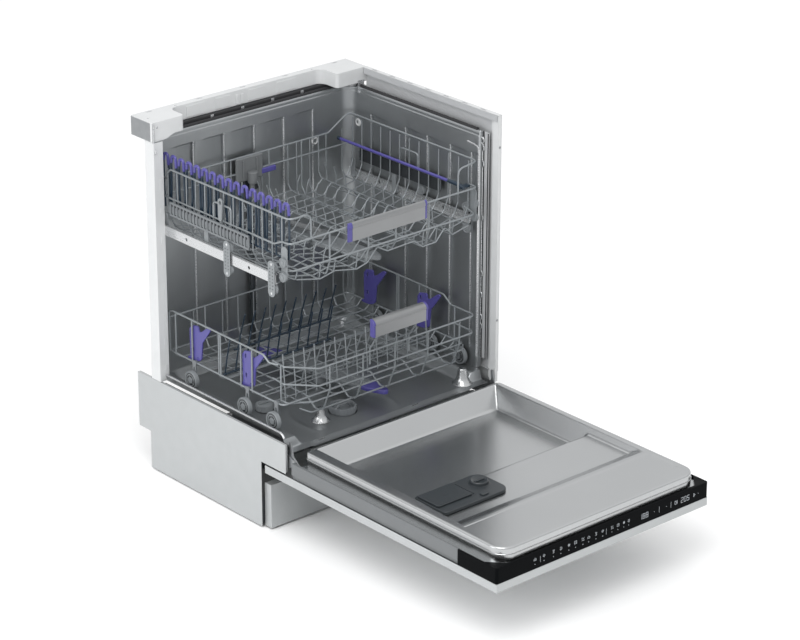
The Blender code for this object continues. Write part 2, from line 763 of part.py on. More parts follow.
def tine_rows():
    """Two rows of folding tines, each on an axle wire across the rack and leaning to the front."""
    for name, y, start, count, (top_y, top_z) in TINE_ROWS:
        stop = start + (count - 1) * TINE_PITCH
        bar = tube(name, [(start - 0.010, y, TINE_Z), (stop + 0.010, y, TINE_Z)], 0.0024, "navy")
        places = [start + number * TINE_PITCH for number in range(count)]
        join(bar, *[tube("tine", [(x, y, TINE_Z), (x, top_y, top_z)], 0.0019, "navy") for x in places])


# Door


def door_front_panel():
    corners = [(-0.298, -DOOR_REACH), (0.298, -DOOR_REACH), (0.298, DOOR_INNER_END), (-0.298, DOOR_INNER_END)]
    pan("door_front_panel", corners, DOOR_LOW, PAN_TOP, 0.0008, "silver")


def door_frame():
    """Side rails of the inner door, tied by two cross members."""
    base = PAN_TOP + 0.0004
    section = [(0.2945, base), (0.2945, 0.1607), (0.2980, 0.1607), (0.2980, FRAME_TOP), (0.2910, FRAME_TOP)]
    section += [(0.2910, base)]
    right = plate("door_frame", section, STRIP_FRONT, -0.018, "Y", "grey_plastic")
    left = plate("rail", mirrored_x(section), STRIP_FRONT, -0.018, "Y", "grey_plastic")
    bars = [
        block("bar", (-0.2925, y, base + 0.0008), (0.2925, y + 0.020, 0.1580), "grey_plastic")
        for y in (STRIP_FRONT + 0.005, -0.300, -0.060)
    ]
    join(right, left, *bars)


def deep_recess():
    """The cutter for the deep part of the liner: flat floored, with a ramp at its rear."""
    top, rear = LINER_TOP + 0.010, LINER_BACK - 0.004
    slope = (0.072 - 0.040) / (LINER_TOP - DEEP_Z)
    reach = rear + slope * (top - LINER_TOP)
    foot_y = rear - slope * (LINER_TOP - DEEP_Z)
    section = [(DEEP_FRONT, DEEP_Z), (foot_y, DEEP_Z), (reach, top), (DEEP_FRONT, top)]
    return plate("deep", section, -0.240, 0.240, "X", "steel")


def door_liner():
    """The inner skin: a raised plateau with rounded free corners and a stepped recess pressed into it."""
    outline = rounded((-LINER_HALF, LINER_FRONT), (LINER_HALF, LINER_BACK), (0.035, 0.035, 0.008, 0.008), 5)
    body = plate("door_liner", outline, LINER_LOW, LINER_TOP, "Z", "bright_steel")
    shallow = plate(
        "shallow",
        rounded((-0.240, SHALLOW_FRONT), (0.236, DEEP_FRONT + 0.003), (0.012, 0.012, 0, 0), 3),
        SHALLOW_Z,
        LINER_TOP + 0.010,
        "Z",
        "steel",
    )
    cut(body, deep_recess(), shallow)
    return open_below(body)


def open_below(body):
    """Turns a cut solid into a shell: its flat underside goes and the rest is made sheet thick."""
    bpy.context.view_layer.update()
    evaluated = body.evaluated_get(bpy.context.evaluated_depsgraph_get())
    mesh = bpy.data.meshes.new_from_object(evaluated)
    bm = bmesh.new()
    bm.from_mesh(mesh)
    bmesh.ops.dissolve_limit(bm, angle_limit=0.001, verts=bm.verts, edges=bm.edges)
    under = [f for f in bm.faces if all(v.co.z < LINER_LOW + 0.0001 for v in f.verts)]
    bmesh.ops.delete(bm, geom=under, context="FACES")
    name, look = body.name, body.data.materials[0].name
    bpy.data.objects.remove(body, do_unlink=True)
    shell = solidified(name, bm, LINER_SKIN, look)
    (x0, x1), (y0, y1) = DISPENSER_X, DISPENSER_Y
    hole = block("dispenser_hole", (x0 + 0.006, y0 + 0.006, 0.190), (x1 - 0.006, y1 - 0.006, 0.202), "steel")
    return cut(shell, hole)


def control_panel():
    edge, end, wall = 0.2980, STRIP_FRONT - 0.0004, 0.0042
    front = -DOOR_REACH
    outline = [(-edge, end)] + arc((-edge + 0.006, front + 0.006), 0.006, 180, 270, 3)
    outline += arc((edge - 0.006, front + 0.006), 0.006, 270, 360, 3) + [(edge, end), (edge - wall, end)]
    outline += [(edge - wall, front + 0.040), (edge - 0.034, front + 0.0075)]
    outline += [(-edge + 0.034, front + 0.0075), (-edge + wall, front + 0.040), (-edge + wall, end)]
    plate("control_panel", outline, PAN_TOP + 0.0004, 0.1860, "Z", "black_gloss")


def dispenser():
    (x0, x1), (y0, y1) = DISPENSER_X, DISPENSER_Y
    low = SHALLOW_Z + GAP
    collar = rounded((x0, y0), (x1, y1), (0.004,) * 4, 2)
    body = plate("dispenser_body", collar, low, DISPENSER_TOP, "Z", "slate")
    join(body, block("well", (x0 + 0.008, y0 + 0.008, 0.176), (x1 - 0.008, y1 - 0.008, 0.2035), "slate"))
    lid = rounded((x0 + 0.004, LID_Y[0]), (x0 + 0.098, LID_Y[1]), (0.006, 0.006, 0.001, 0.001), 2)
    plate("dispenser_lid", lid, DISPENSER_TOP + GAP, DISPENSER_TOP + 0.0035, "Z", "slate")
    cap = [(0.0, 0.2130), (0.0170, 0.2130), (0.0195, 0.2105), (0.0200, DISPENSER_TOP + GAP)]
    turned("rinse_aid_cap", cap + [(0.0, DISPENSER_TOP + GAP)], (*RINSE_AT, 0.0), "slate", 24)


def hinge_arms():
    """The door's hinge arms, bored for the pins, each with a lever that swings down into the base."""
    y, z = HINGE.y, HINGE.z
    outline = [(-0.110, 0.1640), (-0.030, 0.1640)] + arc((y, z), 0.0110, 270, 350, 3)
    outline += [(-0.0005, 0.1900), (0.0015, 0.2265), (-0.0045, 0.2275), (-0.0120, 0.1965), (-0.0330, 0.1800)]
    outline += [(-0.110, 0.1800)]
    hole = arc((y, z), 0.0030 + GAP, 0, 330, 11)
    for word, side in SIDES.items():
        plate(f"hinge_arm_{word}", outline, *span(side, 0.2851, 0.2882), "X", "iron", [hole])


# Joints


def rest_on(parent_name, place, *names):
    """Puts an empty on a joint's axis and hangs the named parts and empties from it, where they are."""
    empty = bpy.data.objects.new(parent_name, None)
    empty.empty_display_size = 0.05
    empty.location = place
    PARTS.objects.link(empty)
    bpy.context.view_layer.update()
    for name in names:
        child = bpy.data.objects[name]
        child.parent = empty
        child.matrix_parent_inverse = empty.matrix_world.inverted()
    return empty


def arrange():
    """Hangs every moving body from an empty on its joint, and all of them from the carcass front."""
    rows = [f"wheel_{word}_{n}" for word in SIDES for n in range(1, len(WHEEL_Y) + 1)]
    holders = [f"tray_holder_{word}_{n}" for word in SIDES for n in range(1, len(HOLDER_Y) + 1)]
    rest_on("upper_arm_pivot", (*ARM_AT, 0.5310), "upper_spray_arm")
    rest_on("comb_pivot", (-0.2513, 0.250, 0.6140), "glass_comb")
    rest_on("lever_pivot", (-0.2651, LEVER_Y, 0.6480), "adjuster_lever")
    for name, y, *_ in TINE_ROWS:
        rest_on(f"{name}_pivot", (0.0, y, TINE_Z), name)
    rest_on("lid_pivot", (sum(DISPENSER_X) / 2, LID_Y[1], DISPENSER_TOP + 0.0020), "dispenser_lid")
    rest_on("rinse_aid_pivot", (*RINSE_AT, DISPENSER_TOP), "rinse_aid_cap")
    upper = ["upper_basket", "upper_handle", "height_adjuster_left", "height_adjuster_right"]
    rest_on("upper_rack", (0, UPPER_Y[0], UPPER_RIM), *upper, "upper_arm_pivot", "comb_pivot", "lever_pivot")
    rest_on("rails", (0, RAIL_Y[0], RAIL_Z[0]), "rail_left", "rail_right", "upper_rack")
    tine_pivots = [f"{row[0]}_pivot" for row in TINE_ROWS]
    lower = ["lower_basket", "lower_handle", *tine_pivots, *rows, *holders]
    rest_on("lower_rack", (0, LOWER_Y[0], LOWER_RIM), *lower)
    door = ["door_front_panel", "door_frame", "door_liner", "control_panel", "dispenser_body"]
    arms = [f"hinge_arm_{word}" for word in SIDES]
    rest_on("door_hinge", HINGE, *door, *arms, "lid_pivot", "rinse_aid_pivot")
    loose = [ob.name for ob in PARTS.objects if ob.parent is None]
    carcass = rest_on("carcass", (0, 0, 0), *loose)
    carcass.location.y = FRONT_Y
    for ob in CUTTERS.all_objects:
        ob.parent = carcass
        ob.matrix_parent_inverse = Matrix.Identity(4)


def build():
    base_sides()
    base_tray()
    kick_plate()
    feet()
    machinery()
    tub()
    filter_and_salt()
    feed_pipe()
    rear_beam()
    posts()
    right_side_panel()
    hinge_brackets()
    rails_and_brackets()
    upper_basket()
    handle("upper_handle", (0.004, 0.6425), (0.213, 0.041), (0.0172, UPPER_Y[0] - WIRE - GAP))
    height_adjusters()
    glass_comb()
    spray_arms()
    lower_basket()
    handle("lower_handle", (0.007, 0.4265), (0.153, 0.039), HANDLE_Y)
    wheels()
    tray_holders()
    tine_rows()
    door_front_panel()
    door_frame()
    door_liner()
    control_panel()
    dispenser()
    hinge_arms()
    arrange()


clear_scene()
PARTS = new_collection("dishwasher", bpy.context.scene.collection)
CUTTERS = new_collection("cutters", bpy.context.scene.collection)
build()
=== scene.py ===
import json
import math

import bmesh
import bpy
from mathutils import Matrix, Vector


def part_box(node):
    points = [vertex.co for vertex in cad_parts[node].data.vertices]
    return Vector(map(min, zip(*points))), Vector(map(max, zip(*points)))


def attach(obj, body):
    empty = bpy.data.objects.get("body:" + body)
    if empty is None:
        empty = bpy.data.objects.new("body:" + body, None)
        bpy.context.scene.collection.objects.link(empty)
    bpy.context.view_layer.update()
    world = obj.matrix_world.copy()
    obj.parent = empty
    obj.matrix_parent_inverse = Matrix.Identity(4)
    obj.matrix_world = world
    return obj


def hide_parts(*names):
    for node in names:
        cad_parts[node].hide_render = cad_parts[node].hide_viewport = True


# The looks of a built-in dishwasher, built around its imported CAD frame.
#
# Pieces are drawn in the carcass frame: x across from the centre, y as depth behind the front edge of the
# base, z up from the floor. piece() moves each finished mesh into the row frame. Places come from the CAD
# nodes' boxes, through depth_box().

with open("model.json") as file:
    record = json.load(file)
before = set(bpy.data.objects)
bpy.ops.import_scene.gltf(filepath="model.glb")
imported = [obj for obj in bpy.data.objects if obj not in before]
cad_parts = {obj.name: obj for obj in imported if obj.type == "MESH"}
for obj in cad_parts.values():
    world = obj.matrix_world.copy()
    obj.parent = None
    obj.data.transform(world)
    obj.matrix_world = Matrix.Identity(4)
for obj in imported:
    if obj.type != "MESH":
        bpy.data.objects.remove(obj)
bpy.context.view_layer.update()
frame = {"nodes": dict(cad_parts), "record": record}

SHIFT = Vector((0.0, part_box("base_side_left")[0].y, 0.0))
SIDES = {"left": -1, "right": 1}
SKIN = 0.001
THICK_WIRE = 0.0021
THIN_WIRE = 0.0015


def depth_box(name):
    """A CAD node's lowest and highest corner, with y as depth behind the front edge of the base."""
    low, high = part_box(name)
    return low - SHIFT, high - SHIFT


def middle_of(name):
    """The middle of a CAD node's box, in the carcass frame."""
    low, high = depth_box(name)
    return (low + high) / 2


# Finishes


def noise(nodes, links, coords, scale, stretch=(1.0, 1.0, 1.0), detail=3.0):
    """A noise pattern in object space, stretched along the axes."""
    mapping = nodes.new("ShaderNodeMapping")
    mapping.inputs["Scale"].default_value = stretch
    links.new(coords, mapping.inputs["Vector"])
    pattern = nodes.new("ShaderNodeTexNoise")
    pattern.inputs["Scale"].default_value = scale
    pattern.inputs["Detail"].default_value = detail
    links.new(mapping.outputs["Vector"], pattern.inputs["Vector"])
    return pattern.outputs["Fac"]


def spread(nodes, links, factor, low, high):
    """The factor's middle range mapped onto low to high."""
    mapped = nodes.new("ShaderNodeMapRange")
    mapped.inputs["From Min"].default_value = 0.3
    mapped.inputs["From Max"].default_value = 0.7
    mapped.inputs["To Min"].default_value = low
    mapped.inputs["To Max"].default_value = high
    links.new(factor, mapped.inputs["Value"])
    return mapped.outputs["Result"]


def finish(
    name,
    colour,
    roughness,
    metallic=0.0,
    blotch=(30.0, 0.05),
    grain=(1800.0, 0.1),
    stretch=(1.0, 1.0, 1.0),
    rough_spread=0.06,
    coat=0.0,
    specular=0.5,
):
    """A procedural finish.

    blotch is the scale and strength of slow colour changes, grain the scale and depth of the fine relief,
    and stretch draws the grain out along an axis, as brushing and rolling do.
    """
    made = bpy.data.materials.new(name)
    made.use_nodes = True
    nodes, links = made.node_tree.nodes, made.node_tree.links
    shader = nodes["Principled BSDF"]
    coords = nodes.new("ShaderNodeTexCoord").outputs["Object"]
    slow = noise(nodes, links, coords, blotch[0])
    fine = noise(nodes, links, coords, grain[0], stretch)
    tint = nodes.new("ShaderNodeMix")
    tint.data_type = "RGBA"
    links.new(slow, tint.inputs["Factor"])
    tint.inputs["A"].default_value = (*[c * (1.0 - blotch[1]) for c in colour], 1.0)
    tint.inputs["B"].default_value = (*[min(1.0, c * (1.0 + blotch[1])) for c in colour], 1.0)
    links.new(tint.outputs["Result"], shader.inputs["Base Color"])
    rough = spread(nodes, links, fine, max(0.03, roughness - rough_spread), roughness + rough_spread)
    links.new(rough, shader.inputs["Roughness"])
    shader.inputs["Metallic"].default_value = metallic
    shader.inputs["Specular IOR Level"].default_value = specular
    shader.inputs["Coat Weight"].default_value = coat
    shader.inputs["Coat Roughness"].default_value = 0.12
    bump = nodes.new("ShaderNodeBump")
    bump.inputs["Strength"].default_value = grain[1]
    bump.inputs["Distance"].default_value = 0.0004
    links.new(fine, bump.inputs["Height"])
    links.new(bump.outputs["Normal"], shader.inputs["Normal"])
    return made


BRUSHED_X = (0.03, 1.0, 1.0)
BRUSHED_Z = (1.0, 1.0, 0.03)

FINISHES = {
    "silver": ("silver", (0.44, 0.455, 0.46), 0.42, {"metallic": 0.45, "grain": (900.0, 0.05)}),
    "white": ("white", (0.58, 0.59, 0.595), 0.4, {"grain": (700.0, 0.06), "coat": 0.2}),
    "steel": (
        "steel", (0.36, 0.375, 0.385), 0.36,
        {"metallic": 0.9, "blotch": (9.0, 0.1), "grain": (260.0, 0.03), "stretch": BRUSHED_Z, "rough_spread": 0.05},
    ),
    "bright_steel": (
        "bright_steel", (0.47, 0.48, 0.485), 0.24,
        {"metallic": 1.0, "blotch": (7.0, 0.03), "grain": (160.0, 0.002), "stretch": BRUSHED_X, "rough_spread": 0.02},
    ),
    "galvanised": (
        "silver", (0.5, 0.51, 0.52), 0.5, {"metallic": 0.35, "blotch": (14.0, 0.06), "grain": (700.0, 0.06)},
    ),
    "rail_steel": ("rail_steel", (0.56, 0.57, 0.58), 0.28, {"metallic": 0.8, "grain": (500.0, 0.04)}),
    "hinge_steel": ("hinge_steel", (0.3, 0.31, 0.32), 0.36, {"metallic": 0.9, "blotch": (60.0, 0.12)}),
    "iron": ("iron", (0.12, 0.12, 0.125), 0.62, {"metallic": 0.6, "blotch": (45.0, 0.25), "grain": (600.0, 0.45)}),
    "grey_plastic": ("grey_plastic", (0.15, 0.162, 0.172), 0.42, {"grain": (1500.0, 0.12)}),
    "pale_plastic": ("grey_plastic", (0.2, 0.215, 0.225), 0.4, {"grain": (1500.0, 0.12)}),
    "strip_plastic": ("grey_plastic", (0.135, 0.143, 0.148), 0.4, {"grain": (1300.0, 0.12)}),
    "dark_plastic": ("dark_plastic", (0.022, 0.025, 0.028), 0.45, {"grain": (1200.0, 0.2)}),
    "black_gloss": ("black_gloss", (0.0025, 0.003, 0.0035), 0.12, {"rough_spread": 0.02, "specular": 0.03}),
    "slate": ("slate", (0.02, 0.025, 0.029), 0.36, {"grain": (1500.0, 0.12), "coat": 0.1}),
    "violet": ("violet", (0.068, 0.06, 0.25), 0.38, {"grain": (1400.0, 0.1), "coat": 0.1}),
    "navy": ("navy", (0.008, 0.022, 0.04), 0.38, {"grain": (1400.0, 0.1), "coat": 0.2}),
    "wire": (
        "wire", (0.235, 0.255, 0.268), 0.34, {"metallic": 0.35, "blotch": (80.0, 0.08), "grain": (1600.0, 0.15)}
    ),
    "rubber": ("rubber", (0.018, 0.018, 0.02), 0.68, {"grain": (900.0, 0.3)}),
    "aluminium": (
        "handle_aluminium", (0.27, 0.275, 0.28), 0.34,
        {"metallic": 0.75, "blotch": (20.0, 0.05), "grain": (500.0, 0.06), "stretch": BRUSHED_X},
    ),
    "print": ("white", (0.62, 0.66, 0.7), 0.5, {"grain": (2500.0, 0.05)}),
}
LOOKS = {
    name: (finish(name, colour, roughness, **rest), slot)
    for name, (slot, colour, roughness, rest) in FINISHES.items()
}


# Shapes


def arc(centre, radius, start, end, steps):
    """Points on an arc in a plane, angles in degrees."""
    angles = [math.radians(start + (end - start) * i / steps) for i in range(steps + 1)]
    return [(centre[0] + radius * math.cos(a), centre[1] + radius * math.sin(a)) for a in angles]


def rounded(low, high, radii, steps=6):
    """A rectangle's outline with a radius for each corner: low-low, high-low, high-high, low-high."""
    (x0, y0), (x1, y1) = low, high
    corners = [(x0, y0, 1, 1, 180), (x1, y0, -1, 1, 270), (x1, y1, -1, -1, 0), (x0, y1, 1, -1, 90)]
    outline = []
    for (x, y, sx, sy, start), radius in zip(corners, radii):
        if radius:
            outline += arc((x + sx * radius, y + sy * radius), radius, start, start + 90, steps)
        else:
            outline.append((x, y))
    return outline


def steps_between(start, stop, pitch):
    """Evenly spaced values from start to stop, about a pitch apart."""
    count = max(1, round(abs(stop - start) / pitch))
    return [start + (stop - start) * i / count for i in range(count + 1)]


def between(points, place):
    """The second value at a place, on straight lines through (place, value) points in rising order."""
    for (p0, v0), (p1, v1) in zip(points, points[1:]):
        if p0 <= place <= p1:
            return v0 + (v1 - v0) * (place - p0) / (p1 - p0)
    return points[-1][1]


def mirrored(points):
    """A path's other half, mirrored across the carcass's middle, in reverse order."""
    return [(-x, y, z) for x, y, z in reversed(points)]


def ease(value):
    """A smooth step from 0 to 1."""
    share = min(1.0, max(0.0, value))
    return share * share * (3.0 - 2.0 * share)


def lower_of(a, b, width):
    """The lower of two values, with the change from one to the other rounded over a width."""
    share = max(width - abs(a - b), 0.0) / width
    return min(a, b) - share * share * width / 4


def stations(low, high, pitch, *fine):
    """Values from low to high about a pitch apart, and closer in the fine spans (start, stop, pitch)."""
    values = set(steps_between(low, high, pitch))
    for start, stop, close in fine:
        values |= set(steps_between(start, stop, close))
    kept = [low]
    kept += [v for v in sorted(values) if low + 0.0003 < v < high - 0.0003]
    return [v for v, after in zip(kept, kept[1:] + [high]) if after - v > 0.0002] + [high]


def fillet(points, radius, cyclic=False, steps=3):
    """The path with its corners rounded."""
    path = [Vector(p) for p in points]
    count = len(path)
    out = []
    for i, corner in enumerate(path):
        if not cyclic and i in (0, count - 1):
            out.append(corner)
            continue
        back = path[i - 1] - corner
        ahead = path[(i + 1) % count] - corner
        turn = math.pi - back.angle(ahead)
        if turn < 0.05:
            out.append(corner)
            continue
        trim = min(radius * math.tan(turn / 2), 0.45 * back.length, 0.45 * ahead.length)
        start, end = corner + back.normalized() * trim, corner + ahead.normalized() * trim
        for k in range(steps + 1):
            t = k / steps
            out.append(start * (1 - t) ** 2 + corner * 2 * t * (1 - t) + end * t * t)
    return out


def circle(radius, count):
    """Points of a circle about the origin."""
    return [(radius * math.cos(a), radius * math.sin(a)) for a in (2 * math.pi * k / count for k in range(count))]


def rings(bm, path, radius, sides, cyclic):
    """Rings of vertices round a path, without twist."""
    count = len(path)
    tangents = []
    for i in range(count):
        ahead = path[(i + 1) % count] if cyclic or i < count - 1 else path[i]
        behind = path[i - 1] if cyclic or i > 0 else path[i]
        tangents.append((ahead - behind).normalized())
    side = tangents[0].orthogonal().normalized()
    made = []
    for place, tangent in zip(path, tangents):
        side = (side - tangent * side.dot(tangent)).normalized()
        up = tangent.cross(side)
        made.append([bm.verts.new(place + side * u + up * v) for u, v in circle(radius, sides)])
    return made


def nearest_turn(ring, other):
    """How far the other ring is turned against this one, so that a closed sweep joins without a twist."""
    sides = len(ring)
    return min(range(sides), key=lambda k: sum((ring[i].co - other[(i + k) % sides].co).length for i in range(sides)))


def sweep(bm, points, radius=THICK_WIRE, bend=0.008, cyclic=False, sides=8):
    """A round bar along a path with rounded corners; its ends are closed."""
    path = fillet(points, bend, cyclic)
    made = rings(bm, path, radius, sides, cyclic)
    for ring, after in zip(made, made[1:]):
        for k in range(sides):
            bm.faces.new((ring[k], ring[(k + 1) % sides], after[(k + 1) % sides], after[k]))
    if cyclic:
        last, first = made[-1], made[0]
        turn = nearest_turn(last, first)
        for k in range(sides):
            a, b = (k + turn) % sides, (k + 1 + turn) % sides
            bm.faces.new((last[k], last[(k + 1) % sides], first[b], first[a]))
    else:
        bm.faces.new(list(reversed(made[0])))
        bm.faces.new(made[-1])


HALF_TURN = Matrix.Rotation(math.pi, 3, "Z")


def lathe(bm, profile, centre, axis="Z", steps=32, turn=None):
    """A profile of (radius, height) turned about an axis through a centre."""
    to_axis = {
        "X": Matrix.Rotation(math.pi / 2, 3, "Y"),
        "Y": Matrix.Rotation(-math.pi / 2, 3, "X"),
        "Z": Matrix.Identity(3),
    }[axis]
    spin = turn or Matrix.Identity(3)
    made = []
    for radius, height in profile:
        if radius < 1e-6:
            made.append([bm.verts.new(Vector(centre) + spin @ to_axis @ Vector((0.0, 0.0, height)))])
            continue
        ring = [Vector((u, v, height)) for u, v in circle(radius, steps)]
        made.append([bm.verts.new(Vector(centre) + spin @ to_axis @ p) for p in ring])
    closed = len(made[0]) > 1
    pairs = list(zip(made, made[1:])) + ([(made[-1], made[0])] if closed else [])
    for ring, after in pairs:
        for k in range(steps):
            n = (k + 1) % steps
            corners = [ring[k % len(ring)], ring[n % len(ring)], after[n % len(after)], after[k % len(after)]]
            unique = list(dict.fromkeys(corners))
            if len(unique) > 2:
                bm.faces.new(unique)


def add(bm, other):
    """Moves another bmesh's geometry into this one."""
    mesh = bpy.data.meshes.new("moved")
    other.to_mesh(mesh)
    other.free()
    bm.from_mesh(mesh)
    bpy.data.meshes.remove(mesh)


def slab(bm, low, high, bevel=0.0008, segments=2):
    """A box between two corners with rounded edges."""
    low, high = Vector(low), Vector(high)
    part = bmesh.new()
    bmesh.ops.create_cube(part, size=1.0)
    size = Matrix.Diagonal((*(high - low), 1.0))
    bmesh.ops.transform(part, matrix=Matrix.Translation((low + high) / 2) @ size, verts=part.verts)
    width = min(bevel, 0.45 * min(abs(s) for s in high - low))
    bmesh.ops.bevel(part, geom=part.edges[:], offset=width, segments=segments, profile=0.5, affect="EDGES")
    add(bm, part)


AXIS_TURNS = {
    "X": Matrix(((0, 1, 0), (0, 0, 1), (1, 0, 0))).transposed().to_4x4(),
    "Y": Matrix(((1, 0, 0), (0, 0, 1), (0, -1, 0))).transposed().to_4x4(),
    "Z": Matrix.Identity(4),
}


def flat(bm, outline, low, high, axis, bevel=0.0005, holes=(), segments=2):
    """A filled outline, as thick as low to high along an axis, with rounded edges.

    The outline's points are (y, z) for axis X, (x, z) for axis Y and (x, y) for axis Z.
    """
    curve = bpy.data.curves.new("outline", "CURVE")
    curve.dimensions = "2D"
    curve.fill_mode = "BOTH"
    for loop in (outline, *holes):
        spline = curve.splines.new("POLY")
        spline.points.add(len(loop) - 1)
        for point, place in zip(spline.points, loop):
            point.co = (place[0], place[1], 0.0, 1.0)
        spline.use_cyclic_u = True
    bevel = min(bevel, 0.45 * (high - low))
    curve.extrude = (high - low) / 2 - bevel
    curve.bevel_depth = bevel
    curve.bevel_resolution = segments - 1
    curve.offset = -bevel
    drawn = bpy.data.objects.new("outline", curve)
    bpy.context.scene.collection.objects.link(drawn)
    shift = Vector((0, 0, 0))
    shift["XYZ".index(axis)] = (high + low) / 2
    bpy.context.view_layer.update()
    mesh = bpy.data.meshes.new_from_object(drawn.evaluated_get(bpy.context.evaluated_depsgraph_get()))
    mesh.transform(Matrix.Translation(shift) @ AXIS_TURNS[axis])
    part = bmesh.new()
    part.from_mesh(mesh)
    bmesh.ops.remove_doubles(part, verts=part.verts, dist=0.000008)
    bpy.data.objects.remove(drawn)
    bpy.data.curves.remove(curve)
    bpy.data.meshes.remove(mesh)
    add(bm, part)


def grid(points):
    """A bmesh sheet through rows of points."""
    bm = bmesh.new()
    rows = [[bm.verts.new(p) for p in row] for row in points]
    for row, after in zip(rows, rows[1:]):
        for i in range(len(row) - 1):
            bm.faces.new((row[i], row[i + 1], after[i + 1], after[i]))
    return bm


def thicken(bm, thickness=SKIN):
    """Gives a sheet its thickness on the side that its normals point away from."""
    bm.normal_update()
    rim = [e.link_loops[0] for e in bm.edges if e.is_boundary]
    ends = [(loop.vert, loop.link_loop_next.vert) for loop in rim]
    sheet = bm.faces[:]
    back = {v: bm.verts.new(v.co - v.normal * thickness) for v in bm.verts[:]}
    for face in sheet:
        bm.faces.new([back[v] for v in reversed(face.verts)])
    for a, b in ends:
        bm.faces.new((b, a, back[a], back[b]))
    return bm


def scratch_object(bm):
    mesh = bpy.data.meshes.new("scratch")
    bmesh.ops.recalc_face_normals(bm, faces=bm.faces)
    bm.to_mesh(mesh)
    bm.free()
    made = bpy.data.objects.new("scratch", mesh)
    bpy.context.scene.collection.objects.link(made)
    return made


def carve(bm, *cutters):
    """The bmesh with the cutters taken away, as a new bmesh."""
    base = scratch_object(bm)
    tools = [scratch_object(cutter) for cutter in cutters]
    for tool in tools:
        step = base.modifiers.new("cut", "BOOLEAN")
        step.operation = "DIFFERENCE"
        step.solver = "EXACT"
        step.object = tool
    bpy.context.view_layer.update()
    mesh = bpy.data.meshes.new_from_object(base.evaluated_get(bpy.context.evaluated_depsgraph_get()))
    made = bmesh.new()
    made.from_mesh(mesh)
    bpy.data.meshes.remove(mesh)
    for old in (base, *tools):
        bpy.data.objects.remove(old)
    return made


def piece(name, bm, look, body, *nodes, angle=38, even=True):
    """Finishes a piece: its mesh in the row frame, its finish, its body and the CAD nodes it stands for."""
    bmesh.ops.recalc_face_normals(bm, faces=bm.faces)
    bmesh.ops.translate(bm, vec=SHIFT, verts=bm.verts)
    mesh = bpy.data.meshes.new(name)
    bm.to_mesh(mesh)
    bm.free()
    mesh.shade_smooth()
    mesh.set_sharp_from_angle(angle=math.radians(angle))
    made = bpy.data.objects.new(name, mesh)
    bpy.context.scene.collection.objects.link(made)
    material, slot = LOOKS[look]
    made.data.materials.append(material)
    if even:
        normals = made.modifiers.new("even_normals", "WEIGHTED_NORMAL")
        normals.keep_sharp = True
    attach(made, body)
    if nodes:
        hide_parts(*nodes)
    return made


# Camera, lights and floor


def make_camera():
    """The camera, as the viewing angle of a product picture taken from the front left, above."""
    heading, drop, roll = math.radians(41.317), math.radians(22.78), math.radians(0.162)
    forward = Vector((math.sin(heading) * math.cos(drop), math.cos(heading) * math.cos(drop), -math.sin(drop)))
    right = forward.cross(Vector((0, 0, 1))).normalized()
    up = right.cross(forward)
    tilted_right = right * math.cos(roll) + up * math.sin(roll)
    tilted_up = up * math.cos(roll) - right * math.sin(roll)
    data = bpy.data.cameras.new("camera")
    data.lens = 136.4
    data.sensor_width = 36.0
    data.clip_end = 100.0
    camera = bpy.data.objects.new("camera", data)
    camera.matrix_world = Matrix((tilted_right, tilted_up, -forward)).transposed().to_4x4()
    camera.location = (-3.8995, -4.3903, 2.9111)
    bpy.context.scene.collection.objects.link(camera)
    bpy.context.scene.camera = camera


def area_light(name, place, aim, size, power):
    data = bpy.data.lights.new(name, "AREA")
    data.shape = "RECTANGLE"
    data.size, data.size_y = size
    data.energy = power
    lamp = bpy.data.objects.new(name, data)
    lamp.location = place
    lamp.rotation_euler = (Vector(aim) - Vector(place)).to_track_quat("-Z", "Y").to_euler()
    bpy.context.scene.collection.objects.link(lamp)


def make_studio():
    world = bpy.data.worlds.new("studio")
    world.use_nodes = True
    nodes, links = world.node_tree.nodes, world.node_tree.links
    coords = nodes.new("ShaderNodeTexCoord")
    split = nodes.new("ShaderNodeSeparateXYZ")
    links.new(coords.outputs["Generated"], split.inputs["Vector"])
    ramp = nodes.new("ShaderNodeValToRGB")
    ramp.color_ramp.elements[0].position = 0.0
    ramp.color_ramp.elements[0].color = (0.62, 0.63, 0.64, 1.0)
    ramp.color_ramp.elements[1].position = 0.8
    ramp.color_ramp.elements[1].color = (1.0, 1.0, 1.0, 1.0)
    links.new(split.outputs["Z"], ramp.inputs["Fac"])
    links.new(ramp.outputs["Color"], nodes["Background"].inputs["Color"])
    nodes["Background"].inputs["Strength"].default_value = 1.12
    bpy.context.scene.world = world
    area_light("key", (-1.6, -1.2, 3.0), (0.0, 0.0, 0.3), (2.2, 2.2), 48.0)
    area_light("fill", (-2.6, 0.3, 1.3), (0.2, 0.2, 0.4), (1.6, 1.2), 16.0)
    bpy.context.scene.view_settings.view_transform = "Standard"


def make_floor():
    bm = bmesh.new()
    bmesh.ops.create_grid(bm, x_segments=1, y_segments=1, size=20.0)
    mesh = bpy.data.meshes.new("studio_floor")
    bm.to_mesh(mesh)
    bm.free()
    floor = bpy.data.objects.new("studio_floor", mesh)
    floor.location.z = -0.0002
    floor.data.materials.append(finish("paper", (0.95, 0.95, 0.95), 0.85, grain=(300.0, 0.02), blotch=(2.0, 0.01)))
    bpy.context.scene.collection.objects.link(floor)


# Tub

